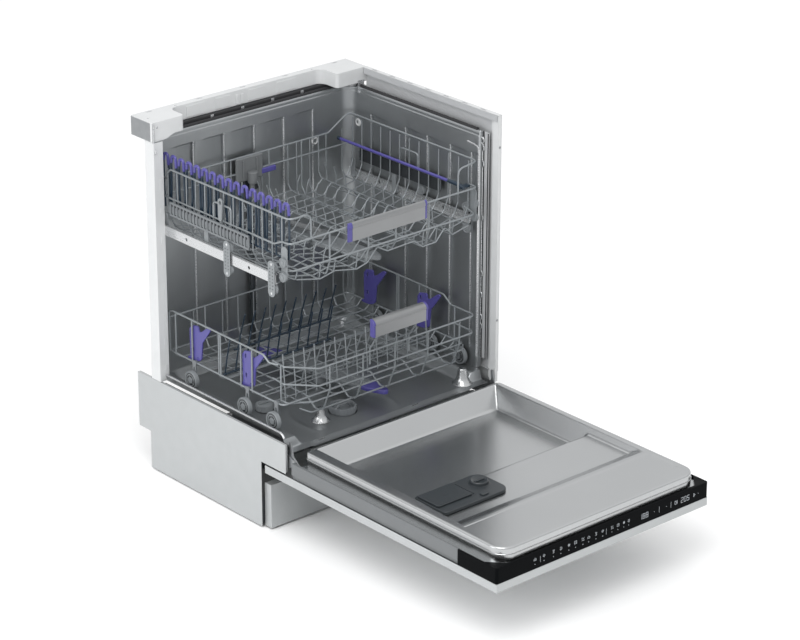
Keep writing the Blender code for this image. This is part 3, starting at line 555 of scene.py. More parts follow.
TUB_TOP = depth_box("tub_rear_wall")[1].z
TUB_BACK = depth_box("tub_rear_wall")[0].y
TUB_LEFT = depth_box("tub_rear_wall")[0].x
RISER_Y = TUB_BACK - 0.0063
TUB_SIDE = depth_box("tub_right_wall")[0].x
TUB_FRONT = depth_box("tub_right_wall")[0].y
WALL_LOW = depth_box("tub_rear_wall")[0].z
CORNER_R = 0.03
BAY_TOP = TUB_TOP - 0.0355
SIDE_BAY_TOP = TUB_TOP - 0.0535
BAY_LOW = WALL_LOW + 0.04
BAY_DEPTH = 0.005
REAR_PITCH, SIDE_PITCH = 0.0835, 0.073
REAR_RIBS = [-0.167 + REAR_PITCH * k for k in range(5)]
SIDE_RIBS = [0.061, 0.129, 0.204, 0.276, 0.392]
RIB_STEPS = (-0.003, -0.0006, 0.0, 0.0005, 0.0012, 0.0022, 0.0034, 0.0044)
RIM_STEP, RIM_R = 0.0016, 0.005


def bay_depth(place, ribs, pitch):
    """How far the wall is pressed out in a bay, which is deepest at its rib and dies out along the bay."""
    for rib in ribs:
        reach = rib - place
        if 0.0 <= reach < pitch * 0.8:
            return BAY_DEPTH * (1.0 - reach / (pitch * 0.8)) ** 1.4
        if -0.0042 <= reach < 0.0:
            return -0.0016 * math.sin(math.pi * (-reach / 0.0042))
    return 0.0


def bay_height(z, top):
    """1 within the bays' height and 0 above and below, with a crisp top edge and a soft foot."""
    return ease((top - z) / 0.003) * ease((z - BAY_LOW) / 0.012)


def upper_step(z):
    """The wall steps out a little below its rim."""
    return RIM_STEP * ease((z - (TUB_TOP - 0.0125)) / 0.003)


def wall_stations():
    """Places round the tub wall: (x, y, outward x, outward y, bay depth, bays' top)."""
    rear = set(steps_between(TUB_LEFT, TUB_SIDE - CORNER_R, 0.008))
    side = set(steps_between(TUB_FRONT + 0.004, TUB_BACK - CORNER_R, 0.008))
    rear |= {rib + step for rib in REAR_RIBS for step in RIB_STEPS}
    side |= {rib + step for rib in SIDE_RIBS for step in RIB_STEPS}
    places = []
    for x in sorted(rear):
        places.append((x, TUB_BACK, 0.0, 1.0, bay_depth(x, REAR_RIBS, REAR_PITCH), BAY_TOP))
    middle = (TUB_SIDE - CORNER_R, TUB_BACK - CORNER_R)
    for degrees in range(80, 5, -10):
        a = math.radians(degrees)
        x, y = middle[0] + CORNER_R * math.cos(a), middle[1] + CORNER_R * math.sin(a)
        places.append((x, y, math.cos(a), math.sin(a), 0.0, BAY_TOP))
    for y in sorted(side, reverse=True):
        places.append((TUB_SIDE, y, 1.0, 0.0, bay_depth(y, SIDE_RIBS, SIDE_PITCH), SIDE_BAY_TOP))
    for degrees in range(160, 60, -20):
        a = math.radians(degrees)
        x, y = TUB_SIDE + 0.004 + 0.004 * math.cos(a), TUB_FRONT + 0.004 - 0.004 * math.sin(a)
        places.append((x, y, 0.5, 0.0, 0.0, SIDE_BAY_TOP))
    for x in (0.283, 0.286, 0.2885):
        places.append((x, TUB_FRONT, 0.0, 0.0, 0.0, SIDE_BAY_TOP))
    return places


def wall_heights():
    heights = set(steps_between(WALL_LOW, TUB_TOP - 0.006, 0.014))
    for edge in (BAY_TOP, SIDE_BAY_TOP, TUB_TOP - 0.0335, TUB_TOP - 0.0095):
        heights |= {edge - 0.003, edge - 0.002, edge - 0.001, edge}
    heights |= {BAY_LOW, BAY_LOW + 0.004, BAY_LOW + 0.008, BAY_LOW + 0.012}
    return sorted(heights)


def tub_walls():
    """Rear and right wall in one pressed sheet, with a rounded corner, slanted bays and a turned-out rim."""
    places = wall_stations()
    rows = []
    for z in wall_heights():
        row = []
        for x, y, ox, oy, depth, top in places:
            out = depth * bay_height(z, top) + upper_step(z)
            row.append((x + ox * out, y + oy * out, z))
        rows.append(row)
    for out, z in arc((0.0, TUB_TOP - RIM_R), RIM_R, 180, 90, 3):
        reach = RIM_STEP + RIM_R + out
        rows.append([(x + ox * reach, y + oy * reach, z) for x, y, ox, oy, _, _ in places])
    bm = grid(rows)
    bmesh.ops.reverse_faces(bm, faces=bm.faces[:])
    thicken(bm, 0.0008)
    piece("tub_walls", bm, "steel", "cabinet", "tub_rear_wall", "tub_right_wall", angle=45)


def tub_rim_seal():
    """The dark sealing bead that lies along the tub's open top edge."""
    path = [(x + ox * 0.006, y + oy * 0.006, TUB_TOP + 0.001) for x, y, ox, oy, _, _ in wall_stations()]
    bm = bmesh.new()
    sweep(bm, path[:-9], 0.004, bend=0.002)
    piece("tub_rim_seal", bm, "rubber", "cabinet", even=False)


def rib_painted_highlights():
    """Painted highlights on the pressed ribs: thin strips of brighter steel that stand in for the light the rib edges
    catch, as upright lines.
    """
    bm = bmesh.new()
    ribs = [(x, TUB_BACK - 0.0008, BAY_TOP) for x in REAR_RIBS] + [
        (TUB_SIDE - 0.0008, y, SIDE_BAY_TOP) for y in SIDE_RIBS
    ]
    for x, y, top in ribs:
        sweep(bm, [(x, y, BAY_LOW + 0.01), (x, y, top - 0.004)], 0.0014, sides=6)
    # The strips' rail_steel finish is brighter than the tub's steel: it paints the ribs' highlight lines.
    piece("rib_painted_highlights", bm, "rail_steel", "cabinet", even=False)


def wall_buttons():
    """Bright plugs in the tub wall."""
    bm = bmesh.new()
    button = [(0.0, 0.0004), (0.005, 0.0006), (0.0064, 0.0022), (0.0084, 0.0018), (0.0094, 0.0)]
    button += [(0.0094, -0.001), (0.0, -0.001)]
    lathe(bm, button, (TUB_SIDE - 0.0004, 0.437, 0.69), "X", 24, HALF_TURN)
    lathe(bm, button, (0.174, TUB_BACK - 0.0002, 0.662), "Y", 24, HALF_TURN)
    piece("wall_plugs", bm, "white", "cabinet")


TRACK_Z = depth_box("tub_right_wall")[0].z - 0.0005
WELL_Z = 0.2
FLOOR_BACK = depth_box("tub_floor")[1].y
FILTER = middle_of("filter_cylinder")
SALT = middle_of("salt_cap")


def floor_height(x, y):
    """The floor's relief: wheel tracks at both sides, a shallow dish towards the filter, a raised ring."""
    edge = abs(x)
    z = WELL_Z + (TRACK_Z - WELL_Z) * ease((edge - 0.232) / 0.02) * ease((y - 0.019) / 0.01)
    if x < 0:
        z += 0.015 * ease((edge - 0.2795) / 0.0045)
    from_filter = math.hypot(x - FILTER.x, y - FILTER.y)
    inside = 1.0 - ease((edge - 0.215) / 0.015)
    z -= 0.0012 * (1.0 - ease((from_filter - 0.045) / 0.1)) * inside
    z += 0.0022 * math.exp(-(((from_filter - 0.118) / 0.007) ** 2)) * inside * ease((y - 0.03) / 0.02)
    z -= 0.003 * (1.0 - ease((y - 0.004) / 0.018)) * inside
    return z + max(0.0, WALL_LOW + 0.001 - z) * ease((y - FLOOR_BACK + 0.022) / 0.02)


def tub_floor():
    low, high = depth_box("tub_floor")
    across = sorted(set(steps_between(-0.2855, TUB_SIDE - 0.0005, 0.0055)) | {-0.2835, -0.2815, -0.28})
    mouth = {0.003, 0.008, 0.012, 0.018, 0.02, 0.022, 0.024, 0.026}
    foot = {high.y - d for d in (0.004, 0.008, 0.011, 0.016, 0.02)}
    along = sorted(set(steps_between(low.y, high.y, 0.007)) | mouth | foot)
    bm = thicken(grid([[(x, y, floor_height(x, y)) for x in across] for y in along]), 0.001)
    holes = []
    for centre, radius in ((FILTER, 0.0318), (SALT, 0.021)):
        tool = bmesh.new()
        lathe(
            tool, [(0.0, 0.03), (radius, 0.03), (radius, -0.03), (0.0, -0.03)], (centre.x, centre.y, WELL_Z), "Z", 40
        )
        holes.append(tool)
    piece("tub_floor_pressing", carve(bm, *holes), "steel", "cabinet", "tub_floor", angle=45)


def floor_stops():
    """Bright pressed stops on the floor, and two small tabs at its mouth."""
    bm = bmesh.new()
    stop = [
        (0.0, 0.024), (0.007, 0.0235), (0.009, 0.021), (0.011, 0.01), (0.016, 0.003), (0.021, 0.0), (0.0, -0.0005)
    ]
    for x, y, wide, tall in ((-0.13, 0.088, 1.0, 1.3), (0.232, 0.035, 1.15, 1.5)):
        lathe(bm, [(r * wide, h * tall) for r, h in stop], (x, y, WELL_Z - 0.0005), "Z", 28)
    for x, y in ((-0.189, 0.014), (0.075, 0.015)):
        slab(bm, (x - 0.01, y - 0.0014, WELL_Z - 0.0015), (x + 0.01, y + 0.0014, WELL_Z + 0.0005), 0.0009)
    piece("floor_stops", bm, "bright_steel", "cabinet")


def floor_edge():
    """The rolled near edge of the left wheel track and the gasket under it."""
    x, front = -0.2838, depth_box("tub_floor")[0].y
    back = depth_box("rear_left_post")[0].y - 0.002
    bead = bmesh.new()
    sweep(bead, [(x, front + 0.022, 0.226), (x, front + 0.03, 0.235), (x, back, 0.2362)], 0.0026, 0.012)
    piece("track_edge_bead", bead, "rail_steel", "cabinet")
    gasket = bmesh.new()
    sheet = depth_box("base_side_left")[1]
    slab(gasket, (sheet.x + 0.0004, front + 0.004, sheet.z - 0.008), (x - 0.0028, back, sheet.z - 0.003), 0.0008)
    piece("floor_edge_gasket", gasket, "rubber", "cabinet")


def door_seal():
    """The upright seal beside the tub mouth, in its carrier."""
    low, high = depth_box("door_seal")
    x, y = high.x - 0.0014, low.y + 0.004
    bm = bmesh.new()
    sweep(bm, [(x, y, low.z), (x, y, high.z - 0.004)], 0.0014, 0.004)
    slab(bm, (high.x - 0.0012, high.y - 0.0078, low.z), (high.x, high.y - 0.0045, high.z - 0.002), 0.0005)
    piece("door_seal_strip", bm, "rubber", "cabinet", "door_seal")
    carrier = bmesh.new()
    start, end = (high.x - 0.001, low.y + 0.001, low.z), (high.x - 0.0002, high.y - 0.008, high.z - 0.001)
    slab(carrier, start, end, 0.0003)
    piece("seal_carrier", carrier, "galvanised", "cabinet")


def mouth_edge():
    """The seal's wavy clip wire, the bright edge bead of the tub wall and the two hooks at its top."""
    x, y = 0.284, 0.035
    path = [(x, y, depth_box("door_seal")[0].z)]
    for z in (0.321, 0.343, 0.395, 0.445, 0.575, 0.699, 0.735, 0.753):
        path += [
            (x, y - out, z + dz) for dz, out in ((-0.007, 0.0), (-0.0035, 0.0035), (0.0035, 0.0035), (0.007, 0.0))
        ]
    bm = bmesh.new()
    sweep(bm, path, 0.001, 0.003, sides=6)
    edge = TUB_SIDE + 0.0012
    sweep(bm, [(edge, 0.04, 0.2475), (edge, 0.0405, 0.7387), (TUB_SIDE, 0.075, 0.742)], 0.0028, 0.01)
    for z in (0.752, 0.765):
        hook = [(0.002, 0.062, 0.0), (0.003, 0.04, -0.001), (0.0075, 0.0335, -0.01)]
        sweep(bm, [(TUB_SIDE + out, y, z + dz) for out, y, dz in hook], 0.0014, 0.01)
    piece("mouth_edge_bead", bm, "rail_steel", "cabinet", even=False)


def studs(bm, centre, radius, count, low, high, thickness):
    """A ring of small upright bars, as on a knurled or slotted edge."""
    for u, v in circle(radius, count):
        x, y = centre.x + u, centre.y + v
        sweep(bm, [(x, y, low), (x, y, high)], thickness, sides=6)


def filter_cup():
    """The twist-in filter: a grip ring with notches over a slotted cup."""
    low, high = depth_box("filter_cylinder")
    x, y = FILTER.x, FILTER.y
    bm = bmesh.new()
    cup = [(0.024, high.z - 0.004), (0.0262, high.z), (0.0295, high.z - 0.0005), (0.03, high.z - 0.003)]
    cup += [(0.03, 0.201), (0.0285, 0.199), (0.0285, low.z), (0.024, low.z)]
    lathe(bm, cup, (x, y, 0.0), "Z", 48)
    studs(bm, FILTER, 0.0296, 20, 0.2015, high.z - 0.0015, 0.0011)
    for z in (0.17, 0.178, 0.186):
        lathe(bm, [(0.0232, z), (0.0242, z), (0.0242, z - 0.0015), (0.0232, z - 0.0015)], (x, y, 0.0), "Z", 48)
    handle = [
        (x - 0.02, y, 0.206), (x - 0.012, y, high.z + 0.001), (x + 0.012, y, high.z + 0.001), (x + 0.02, y, 0.206)
    ]
    sweep(bm, handle, 0.0024, 0.006)
    lathe(bm, [(0.0, 0.203), (0.0236, 0.203), (0.0236, 0.2015), (0.0, 0.2015)], (x, y, 0.0), "Z", 48)
    piece("filter_cup", bm, "grey_plastic", "filter", "filter_cylinder")


def salt_cap():
    """A screw cap with a knurled edge and a raised grip."""
    low, high = depth_box("salt_cap")
    x, y = SALT.x, SALT.y
    bm = bmesh.new()
    cap = [(0.0, 0.216), (0.015, 0.216), (0.018, 0.2148), (0.019, 0.212), (0.019, low.z + 0.003)]
    cap += [(0.015, low.z), (0.0, low.z)]
    lathe(bm, cap, (x, y, 0.0), "Z", 40)
    studs(bm, SALT, 0.0188, 24, 0.203, 0.2135, 0.0009)
    slab(bm, (x - 0.0135, y - 0.003, 0.215), (x + 0.0135, y + 0.003, high.z), 0.0014, 3)
    piece("salt_screw_cap", bm, "pale_plastic", "salt_cap", "salt_cap")


def riser():
    """The feed pipe up the rear wall and the docking socket that the upper rack plugs into."""
    low = depth_box("feed_pipe")[0]
    x, y = -0.015, RISER_Y
    bm = bmesh.new()
    sweep(bm, [(x, y, low.z), (x, y, 0.6)], 0.0058, sides=16)
    for z in (0.24, 0.33, 0.42, 0.51):
        lathe(bm, [(0.005, 0.003), (0.0062, 0.002), (0.0062, -0.002), (0.005, -0.003)], (x, y, z), "Z", 20)
    slab(bm, (-0.035, y - 0.0042, 0.592), (0.005, TUB_BACK - 0.0004, 0.664), 0.0025, 3)
    ring = [(0.0045, 0.0008), (0.0082, 0.0004), (0.0088, -0.001), (0.0045, -0.001)]
    for z in (0.606, 0.628):
        lathe(bm, ring, (x, y - 0.0044, z), "Y", 24, HALF_TURN)
    piece("riser_pipe", bm, "slate", "cabinet", "feed_pipe")
    knobs = bmesh.new()
    knob = [(0.0, 0.0052), (0.0042, 0.0048), (0.0056, 0.003), (0.006, 0.0), (0.0, -0.0004)]
    for knob_x in (-0.0275, -0.006):
        lathe(knobs, knob, (knob_x, y - 0.0042, 0.652), "Y", 20, HALF_TURN)
    piece("dock_knobs", knobs, "pale_plastic", "cabinet")


def tub():
    tub_walls()
    tub_rim_seal()
    rib_painted_highlights()
    wall_buttons()
    tub_floor()
    floor_stops()
    floor_edge()
    door_seal()
    mouth_edge()
    filter_cup()
    salt_cap()
    riser()


# Outer frame


BEAM_LOW, BEAM_HIGH = depth_box("rear_beam")
BEAM_PLATE = BEAM_HIGH.z - 0.0345
BEAM_INNER = 0.489


def beam_outline():
    """The beam's plan: a plate with a wide rounded bay towards the tub."""
    low, high = BEAM_LOW, BEAM_HIGH
    reach, r, nose = 0.212, 0.02, 0.008
    outline = [(low.x, high.y), (low.x, low.y), (-reach - nose, low.y)]
    outline += arc((-reach - nose, low.y + nose), nose, 270, 360, 4)
    outline += arc((-reach + r, BEAM_INNER - r), r, 180, 90, 8)
    outline += arc((reach - r, BEAM_INNER - r), r, 90, 0, 8)
    outline += arc((reach + nose, low.y + nose), nose, 180, 270, 4)
    return outline + [(high.x, low.y), (high.x, high.y)]


def rear_beam():
    """The white top beam: a slotted plate, a deep end block at the left and a low one at the right."""
    low, high = BEAM_LOW, BEAM_HIGH
    slots = []
    for x in (-0.255, -0.12, 0.0, 0.12, 0.262):
        slots.append(rounded((x - 0.008, high.y - 0.0085), (x + 0.008, high.y - 0.0055), (0.0014,) * 4, 3))
    bm = bmesh.new()
    flat(bm, beam_outline(), BEAM_PLATE, high.z, "Z", 0.0014, slots)
    foot = [(low.x, low.z), (-0.27, low.z), (-0.258, low.z + 0.002), (-0.246, low.z + 0.007)]
    foot += [(-0.236, BEAM_PLATE + 0.001), (low.x, BEAM_PLATE + 0.001)]
    flat(bm, foot, low.y, high.y - 0.001, "Y", 0.0008)
    slab(bm, (0.264, low.y + 0.012, low.z), (high.x, high.y - 0.001, BEAM_PLATE + 0.001), 0.0008)
    slab(bm, (low.x + 0.002, high.y - 0.0016, low.z), (high.x - 0.002, high.y - 0.0002, BEAM_PLATE + 0.002), 0.0005)
    front, back = BEAM_INNER, BEAM_INNER + 0.002
    for x0, x1 in ((-0.165, -0.115), (-0.085, -0.045), (0.005, 0.05), (0.085, 0.14)):
        slab(bm, (x0, front - 0.0012, BEAM_PLATE + 0.004), (x1, back, high.z - 0.006), 0.0005)
    for x in (-0.03, -0.016):
        slab(bm, (x, front - 0.0022, BEAM_PLATE + 0.003), (x + 0.007, back, high.z - 0.01), 0.0005)
    piece("rear_top_beam", bm, "white", "cabinet", "rear_beam")


def beam_gasket():
    """The dark gasket between the beam and the tub."""
    bm = bmesh.new()
    start = (-0.262, TUB_BACK + 0.011, BEAM_LOW.z + 0.0004)
    slab(bm, start, (0.262, BEAM_INNER + 0.002, BEAM_PLATE - 0.0002), 0.0016)
    piece("beam_gasket", bm, "rubber", "cabinet")


def beam_clips():
    """The bright clips along the gasket, the folded end tab at the left and the slotted hanger at the right."""
    low, high = BEAM_LOW, BEAM_HIGH
    bm = bmesh.new()
    y = TUB_BACK + 0.0098
    for x in (-0.196, -0.104, -0.02, 0.064, 0.148):
        slab(bm, (x - 0.004, y, low.z + 0.002), (x + 0.004, y + 0.0016, BEAM_PLATE - 0.0005), 0.0006)
    end = [(0.004, high.z - 0.002), (0.004, low.z - 0.012), (0.012, low.z - 0.02), (0.006, low.z - 0.026)]
    end += [(0.0005, low.z - 0.02), (0.0005, high.z - 0.002)]
    flat(bm, [(low.y - out, z) for out, z in end], low.x + 0.0016, low.x + 0.0034, "X", 0.0005)
    hanger = rounded((0.272, low.z - 0.015), (0.29, BEAM_PLATE + 0.006), (0.003, 0.003, 0.001, 0.001), 4)
    slot = rounded((0.279, low.z - 0.0105), (0.283, low.z + 0.006), (0.0018,) * 4, 4)
    flat(bm, hanger, low.y - 0.0016, low.y - 0.0003, "Y", 0.0004, [slot])
    piece("beam_clips", bm, "rail_steel", "cabinet")


def beam_end():
    """A dark grey plate on the beam's left end, painted shade for that end face, and the beam's screws."""
    low, high = BEAM_LOW, BEAM_HIGH
    # The plate's dark hinge_steel finish is painted shade: it stands in for the shade on the white beam's left end
    # face.
    bm = bmesh.new()
    start = (low.x - 0.0006, low.y + 0.006, low.z + 0.001)
    end = (low.x + 0.001, high.y - 0.001, high.z - 0.002)
    slab(bm, start, end, 0.0003)
    piece("beam_end_painted_shade", bm, "hinge_steel", "cabinet")
    x = low.x + 0.013
    places = [((x, low.y, high.z - 0.012), "Y", -1), ((x, low.y + 0.03, high.z), "Z", 1)]
    places += [((x, high.y - 0.014, high.z), "Z", 1) for x in (-0.19, 0.19)]
    screws("beam_screws", "cabinet", places)


def screws(name, body, places, radius=0.0028, look="rail_steel"):
    """Pan-head screws, each a low dome with a recess, standing on a face along an axis."""
    dome = [(0.0, 0.0005), (0.0007, 0.0006), (0.0009, 0.0012), (radius * 0.7, 0.001), (radius, 0.0002)]
    dome += [(radius, -0.0006), (0.0, -0.0006)]
    bm = bmesh.new()
    for centre, axis, sign in places:
        turn = Matrix.Rotation(math.pi, 3, "Z" if axis in "XY" else "X") if sign < 0 else None
        lathe(bm, dome, centre, axis, 16, turn)
    piece(name, bm, look, body)


POST_WALL = 0.0014


def left_post():
    """The rear left post, a folded channel with a row of pressed pads."""
    low, high = depth_box("rear_left_post")
    inner_x, inner_y = low.x + POST_WALL, low.y + POST_WALL
    outline = [(low.x, low.y), (high.x, low.y), (high.x, inner_y), (inner_x, inner_y), (inner_x, high.y)]
    outline.append((low.x, high.y))
    bm = bmesh.new()
    flat(bm, outline, low.z, high.z, "Z", 0.0004)
    for number, z in enumerate(steps_between(low.z + 0.03, high.z - 0.035, 0.062)):
        half = 0.012 if number % 2 else 0.007
        slab(bm, (high.x - 0.011, low.y - 0.0006, z - half), (high.x - 0.004, low.y + 0.001, z + half), 0.0003)
    piece("rear_left_channel", bm, "white", "cabinet", "rear_left_post")


def right_post():
    """The front right post, a channel with a short inner leg, three raised pads and two screws."""
    low, high = depth_box("front_right_post")
    inner_x, inner_y, leg = low.x + POST_WALL, low.y + POST_WALL, low.y + 0.018
    outline = [(low.x, low.y), (high.x, low.y), (high.x, high.y), (high.x - POST_WALL, high.y)]
    outline += [(high.x - POST_WALL, inner_y), (inner_x, inner_y), (inner_x, leg), (low.x, leg)]
    bm = bmesh.new()
    flat(bm, outline, low.z, high.z, "Z", 0.0004)
    for z in (0.25, 0.52, 0.7):
        slab(bm, (low.x + 0.001, low.y - 0.0005, z - 0.016), (high.x - 0.001, low.y + 0.001, z + 0.016), 0.0003)
    piece("front_right_upright", bm, "white", "cabinet", "front_right_post")
    middle = (low.x + high.x) / 2
    screws("post_screws", "cabinet", [((middle, low.y, z), "Y", -1) for z in (0.345, 0.745)], 0.003, "hinge_steel")


def right_skin():
    """The right outer skin: a sheet, a slotted flange along its top, and a bare metal lining."""
    low, high = depth_box("right_side_panel")
    front, shoulder = BEAM_LOW.y - 0.0005, BEAM_LOW.z - 0.0005
    outline = [(low.y, low.z), (high.y, low.z), (high.y, shoulder), (front, shoulder), (front, high.z)]
    outline.append((low.y, high.z))
    bm = bmesh.new()
    flat(bm, outline, high.x - 0.001, high.x, "X", 0.0003)
    slots = []
    for y in steps_between(0.045, 0.4, 0.062):
        slots.append(rounded((high.x - 0.0072, y - 0.009), (high.x - 0.0042, y + 0.009), (0.0012,) * 4, 3))
    flange = rounded((high.x - 0.01, low.y), (high.x - 0.0006, front - 0.0003), (0,) * 4)
    flat(bm, flange, high.z - 0.0013, high.z - 0.0001, "Z", 0.0004, slots)
    piece("right_outer_skin", bm, "white", "cabinet", "right_side_panel")

    lining = bmesh.new()
    inner = high.x - 0.0016
    flat(lining, outline, inner, inner + 0.0005, "X", 0.0002)
    fold = high.x - 0.0112
    slab(lining, (fold, low.y + 0.004, high.z - 0.015), (fold + 0.001, front - 0.0015, high.z - 0.0012), 0.0003)
    piece("skin_lining", lining, "galvanised", "cabinet")


def base_panels():
    """The base side sheets, with a folded flange inside their upper and front edges."""
    for word, side in SIDES.items():
        low, high = depth_box(f"base_side_{word}")
        toe, nose, step_y, step_z = 0.082, 0.156, 0.472, 0.091
        outline = [(high.y, high.z), (high.y, step_z), (step_y, step_z), (step_y, low.z), (toe, low.z)]
        outline += [(toe, nose), (low.y, nose), (low.y, high.z)]
        bm = bmesh.new()
        flat(bm, outline, low.x, high.x, "X", 0.0005)
        x = (high.x if side < 0 else low.x - 0.005) - 0.0004
        slab(bm, (x, low.y + 0.001, high.z - 0.0016), (x + 0.0058, high.y - 0.002, high.z - 0.0004), 0.0004)
        slab(bm, (x, low.y + 0.0004, nose + 0.003), (x + 0.0048, low.y + 0.0016, high.z - 0.002), 0.0004)
        piece(f"base_sheet_{word}", bm, "silver", "cabinet", f"base_side_{word}")


def kick_plate():
    low, high = depth_box("kick_plate")
    wall = 0.0012
    outline = [(low.x, high.y), (low.x, low.y), (high.x, low.y), (high.x, high.y), (high.x - wall, high.y)]
    outline += [(high.x - wall, low.y + wall), (low.x + wall, low.y + wall), (low.x + wall, high.y)]
    bm = bmesh.new()
    flat(bm, outline, low.z, high.z, "Z", 0.0004)
    slab(
        bm, (low.x + 0.002, low.y + 0.0005, high.z - 0.0015), (high.x - 0.002, high.y - 0.001, high.z - 0.0004),
        0.0004,
    )
    piece("toe_plate", bm, "silver", "cabinet", "kick_plate")


def feet():
    """Levelling feet with a round pad and a hexagonal collar."""
    for place in ("front_left", "front_right", "rear"):
        low, high = depth_box(f"foot_{place}")
        x, y = (low.x + high.x) / 2, (low.y + high.y) / 2
        bm = bmesh.new()
        pad = [(0.0, high.z), (0.005, high.z), (0.005, 0.0062), (0.016, 0.0052), (0.0178, 0.004), (0.018, 0.0)]
        lathe(bm, pad + [(0.0, 0.0)], (x, y, 0.0), "Z", 36)
        lathe(
            bm, [(0.0, high.z - 0.0002), (0.0085, high.z - 0.0002), (0.0085, 0.0055), (0.0, 0.0055)], (x, y, 0.0),
            "Z", 6,
        )
        piece(f"levelling_foot_{place}", bm, "dark_plastic", "cabinet", f"foot_{place}")


def outer_frame():
    rear_beam()
    beam_gasket()
    beam_clips()
    beam_end()
    left_post()
    right_post()
    right_skin()
    base_panels()
    kick_plate()
    feet()


# Door

LINER_LOW, LINER_HIGH = depth_box("door_liner")
FIELD_LOW, FIELD_HIGH = (-0.264, -0.598), (0.267, -0.0385)
LINER_TRIM = 0.0085
DEEP, SHALLOW, CREASE_Y = 0.044, 0.016, -0.511
# (y, depth) of the pressing from the hinge side to the free edge
COURSE = [(-0.03, -0.0138), (-0.072, DEEP), (-0.322, DEEP), (-0.335, SHALLOW), (-0.462, SHALLOW), (-0.53, -0.016)]
COURSE_POINTS = sorted((p.x, p.y) for p in fillet([(y, depth, 0.0) for y, depth in COURSE], 0.01))


def course_depth(y):
    """The pressing's depth at y, far from its side walls."""
    return between(COURSE_POINTS, y) if y <= COURSE_POINTS[-1][0] else COURSE[0][1]


def pressed_depth(x, y):
    """How deep the liner is pressed at a place: two-step recess, latch notch, crease and side groove."""
    left = (x + 0.249 + 0.007 * ease((-0.33 - y) / 0.16)) * 4.0
    wall = (0.261 - x) * 1.9 if x > 0 else left
    depth = -lower_of(-lower_of(course_depth(y), wall, 0.006), 0.0, 0.003)
    notch = ease((0.0075 - abs(x - 0.243)) / 0.0012) * ease((0.0215 - abs(y + 0.463)) / 0.0012)
    depth = max(depth, 0.008 * notch)
    depth += 0.0011 * math.exp(-(((y - CREASE_Y) / 0.001) ** 2)) * ease((0.2605 - abs(x)) / 0.0015)
    depth += 0.0012 * math.exp(-(((x - 0.2585) / 0.0012) ** 2)) * ease((0.0375 - abs(y + 0.5535)) / 0.002)
    return depth


def liner_field():
    """The pressed middle of the liner as a sheet whose edge lies level with the plateau."""
    (x0, y0), (x1, y1) = FIELD_LOW, FIELD_HIGH
    across = stations(x0, x1, 0.02, (x0, -0.23, 0.0016), (0.226, x1, 0.0012))
    fine = [(y1 - 0.05, y1, 0.002), (-0.35, -0.312, 0.0015), (-0.508, -0.45, 0.002)]
    along = stations(y0, y1, 0.015, *fine, (-0.5145, -0.5075, 0.0005), (-0.487, -0.439, 0.0012))

    def height(x, y):
        on_edge = x in (x0, x1) or y in (y0, y1)
        return LINER_HIGH.z - (0.0 if on_edge else pressed_depth(x, y))

    return grid([[(x, y, height(x, y)) for x in across] for y in along])


def liner_outline(inset, corner, heel, steps):
    """The plateau's outline, drawn in by an inset; its corners are large at the free edge, small at the hinge."""
    low, high = LINER_LOW, LINER_HIGH
    start, end = (low.x + LINER_TRIM + inset, low.y + inset), (high.x - LINER_TRIM - inset, high.y - inset)
    return rounded(start, end, (corner, corner, heel, heel), steps)


def liner_edge(inset, z, bm):
    """One ring of the plateau's rounded side."""
    return [bm.verts.new((x, y, z)) for x, y in liner_outline(inset, 0.036 - inset, 0.01 - inset, 10)]


def door_liner():
    """The stainless inner skin: a raised plateau with rounded corners and a pressed middle."""
    top, roll = LINER_HIGH.z, 0.0045
    bm = liner_field()
    edges = [e for e in bm.edges if e.is_boundary]
    ring = liner_edge(roll, top, bm)
    edges += [bm.edges.new((a, b)) for a, b in zip(ring, ring[1:] + ring[:1])]
    bmesh.ops.triangle_fill(bm, use_beauty=True, edges=edges)
    courses = [(roll * (1 - math.sin(a)), top - roll * (1 - math.cos(a))) for a in (0.4, 0.8, 1.2, math.pi / 2)]
    for inset, z in courses + [(0.0, top - 0.012), (0.0, top - 0.04)]:
        after = liner_edge(inset, z, bm)
        for k in range(len(ring)):
            n = (k + 1) % len(ring)
            bm.faces.new((ring[k], ring[n], after[n], after[k]))
        ring = after
    bmesh.ops.recalc_face_normals(bm, faces=bm.faces)
    if sum(f.normal.z * f.calc_area() for f in bm.faces) < 0:
        bmesh.ops.reverse_faces(bm, faces=bm.faces[:])
    thicken(bm, 0.0008)
    x0, x1, y0, y1 = dispenser_span()
    floor_z = top - SHALLOW
    inset = 0.006
    hole = bmesh.new()
    outline = rounded((x0 + inset, y0 + inset), (x1 - inset, y1 - inset), (0.003,) * 4, 4)
    flat(hole, outline, floor_z - 0.03, floor_z + 0.004, "Z", 0.0)
    piece("door_inner_skin", carve(bm, hole), "bright_steel", "door", "door_liner", angle=32)


def liner_ledge():
    """The turned-out foot of the liner: a bead round the plateau and the channel beside it."""
    bm = bmesh.new()
    bead = [(x * 1.002, y, LINER_HIGH.z - 0.015) for x, y in liner_outline(0.0, 0.036, 0.01, 8)]
    sweep(bm, bead, 0.0011, 0.001, True, 6)
    edge = 0.2905
    channel = rounded((-edge, LINER_LOW.y - 0.0035), (edge, LINER_HIGH.y + 0.001), (0.006, 0.006, 0.002, 0.002), 6)
    inside = liner_outline(0.004, 0.032, 0.008, 8)
    flat(bm, channel, LINER_LOW.z + 0.0196, LINER_LOW.z + 0.0208, "Z", 0.0004, [inside])
    piece("liner_ledge", bm, "bright_steel", "door")


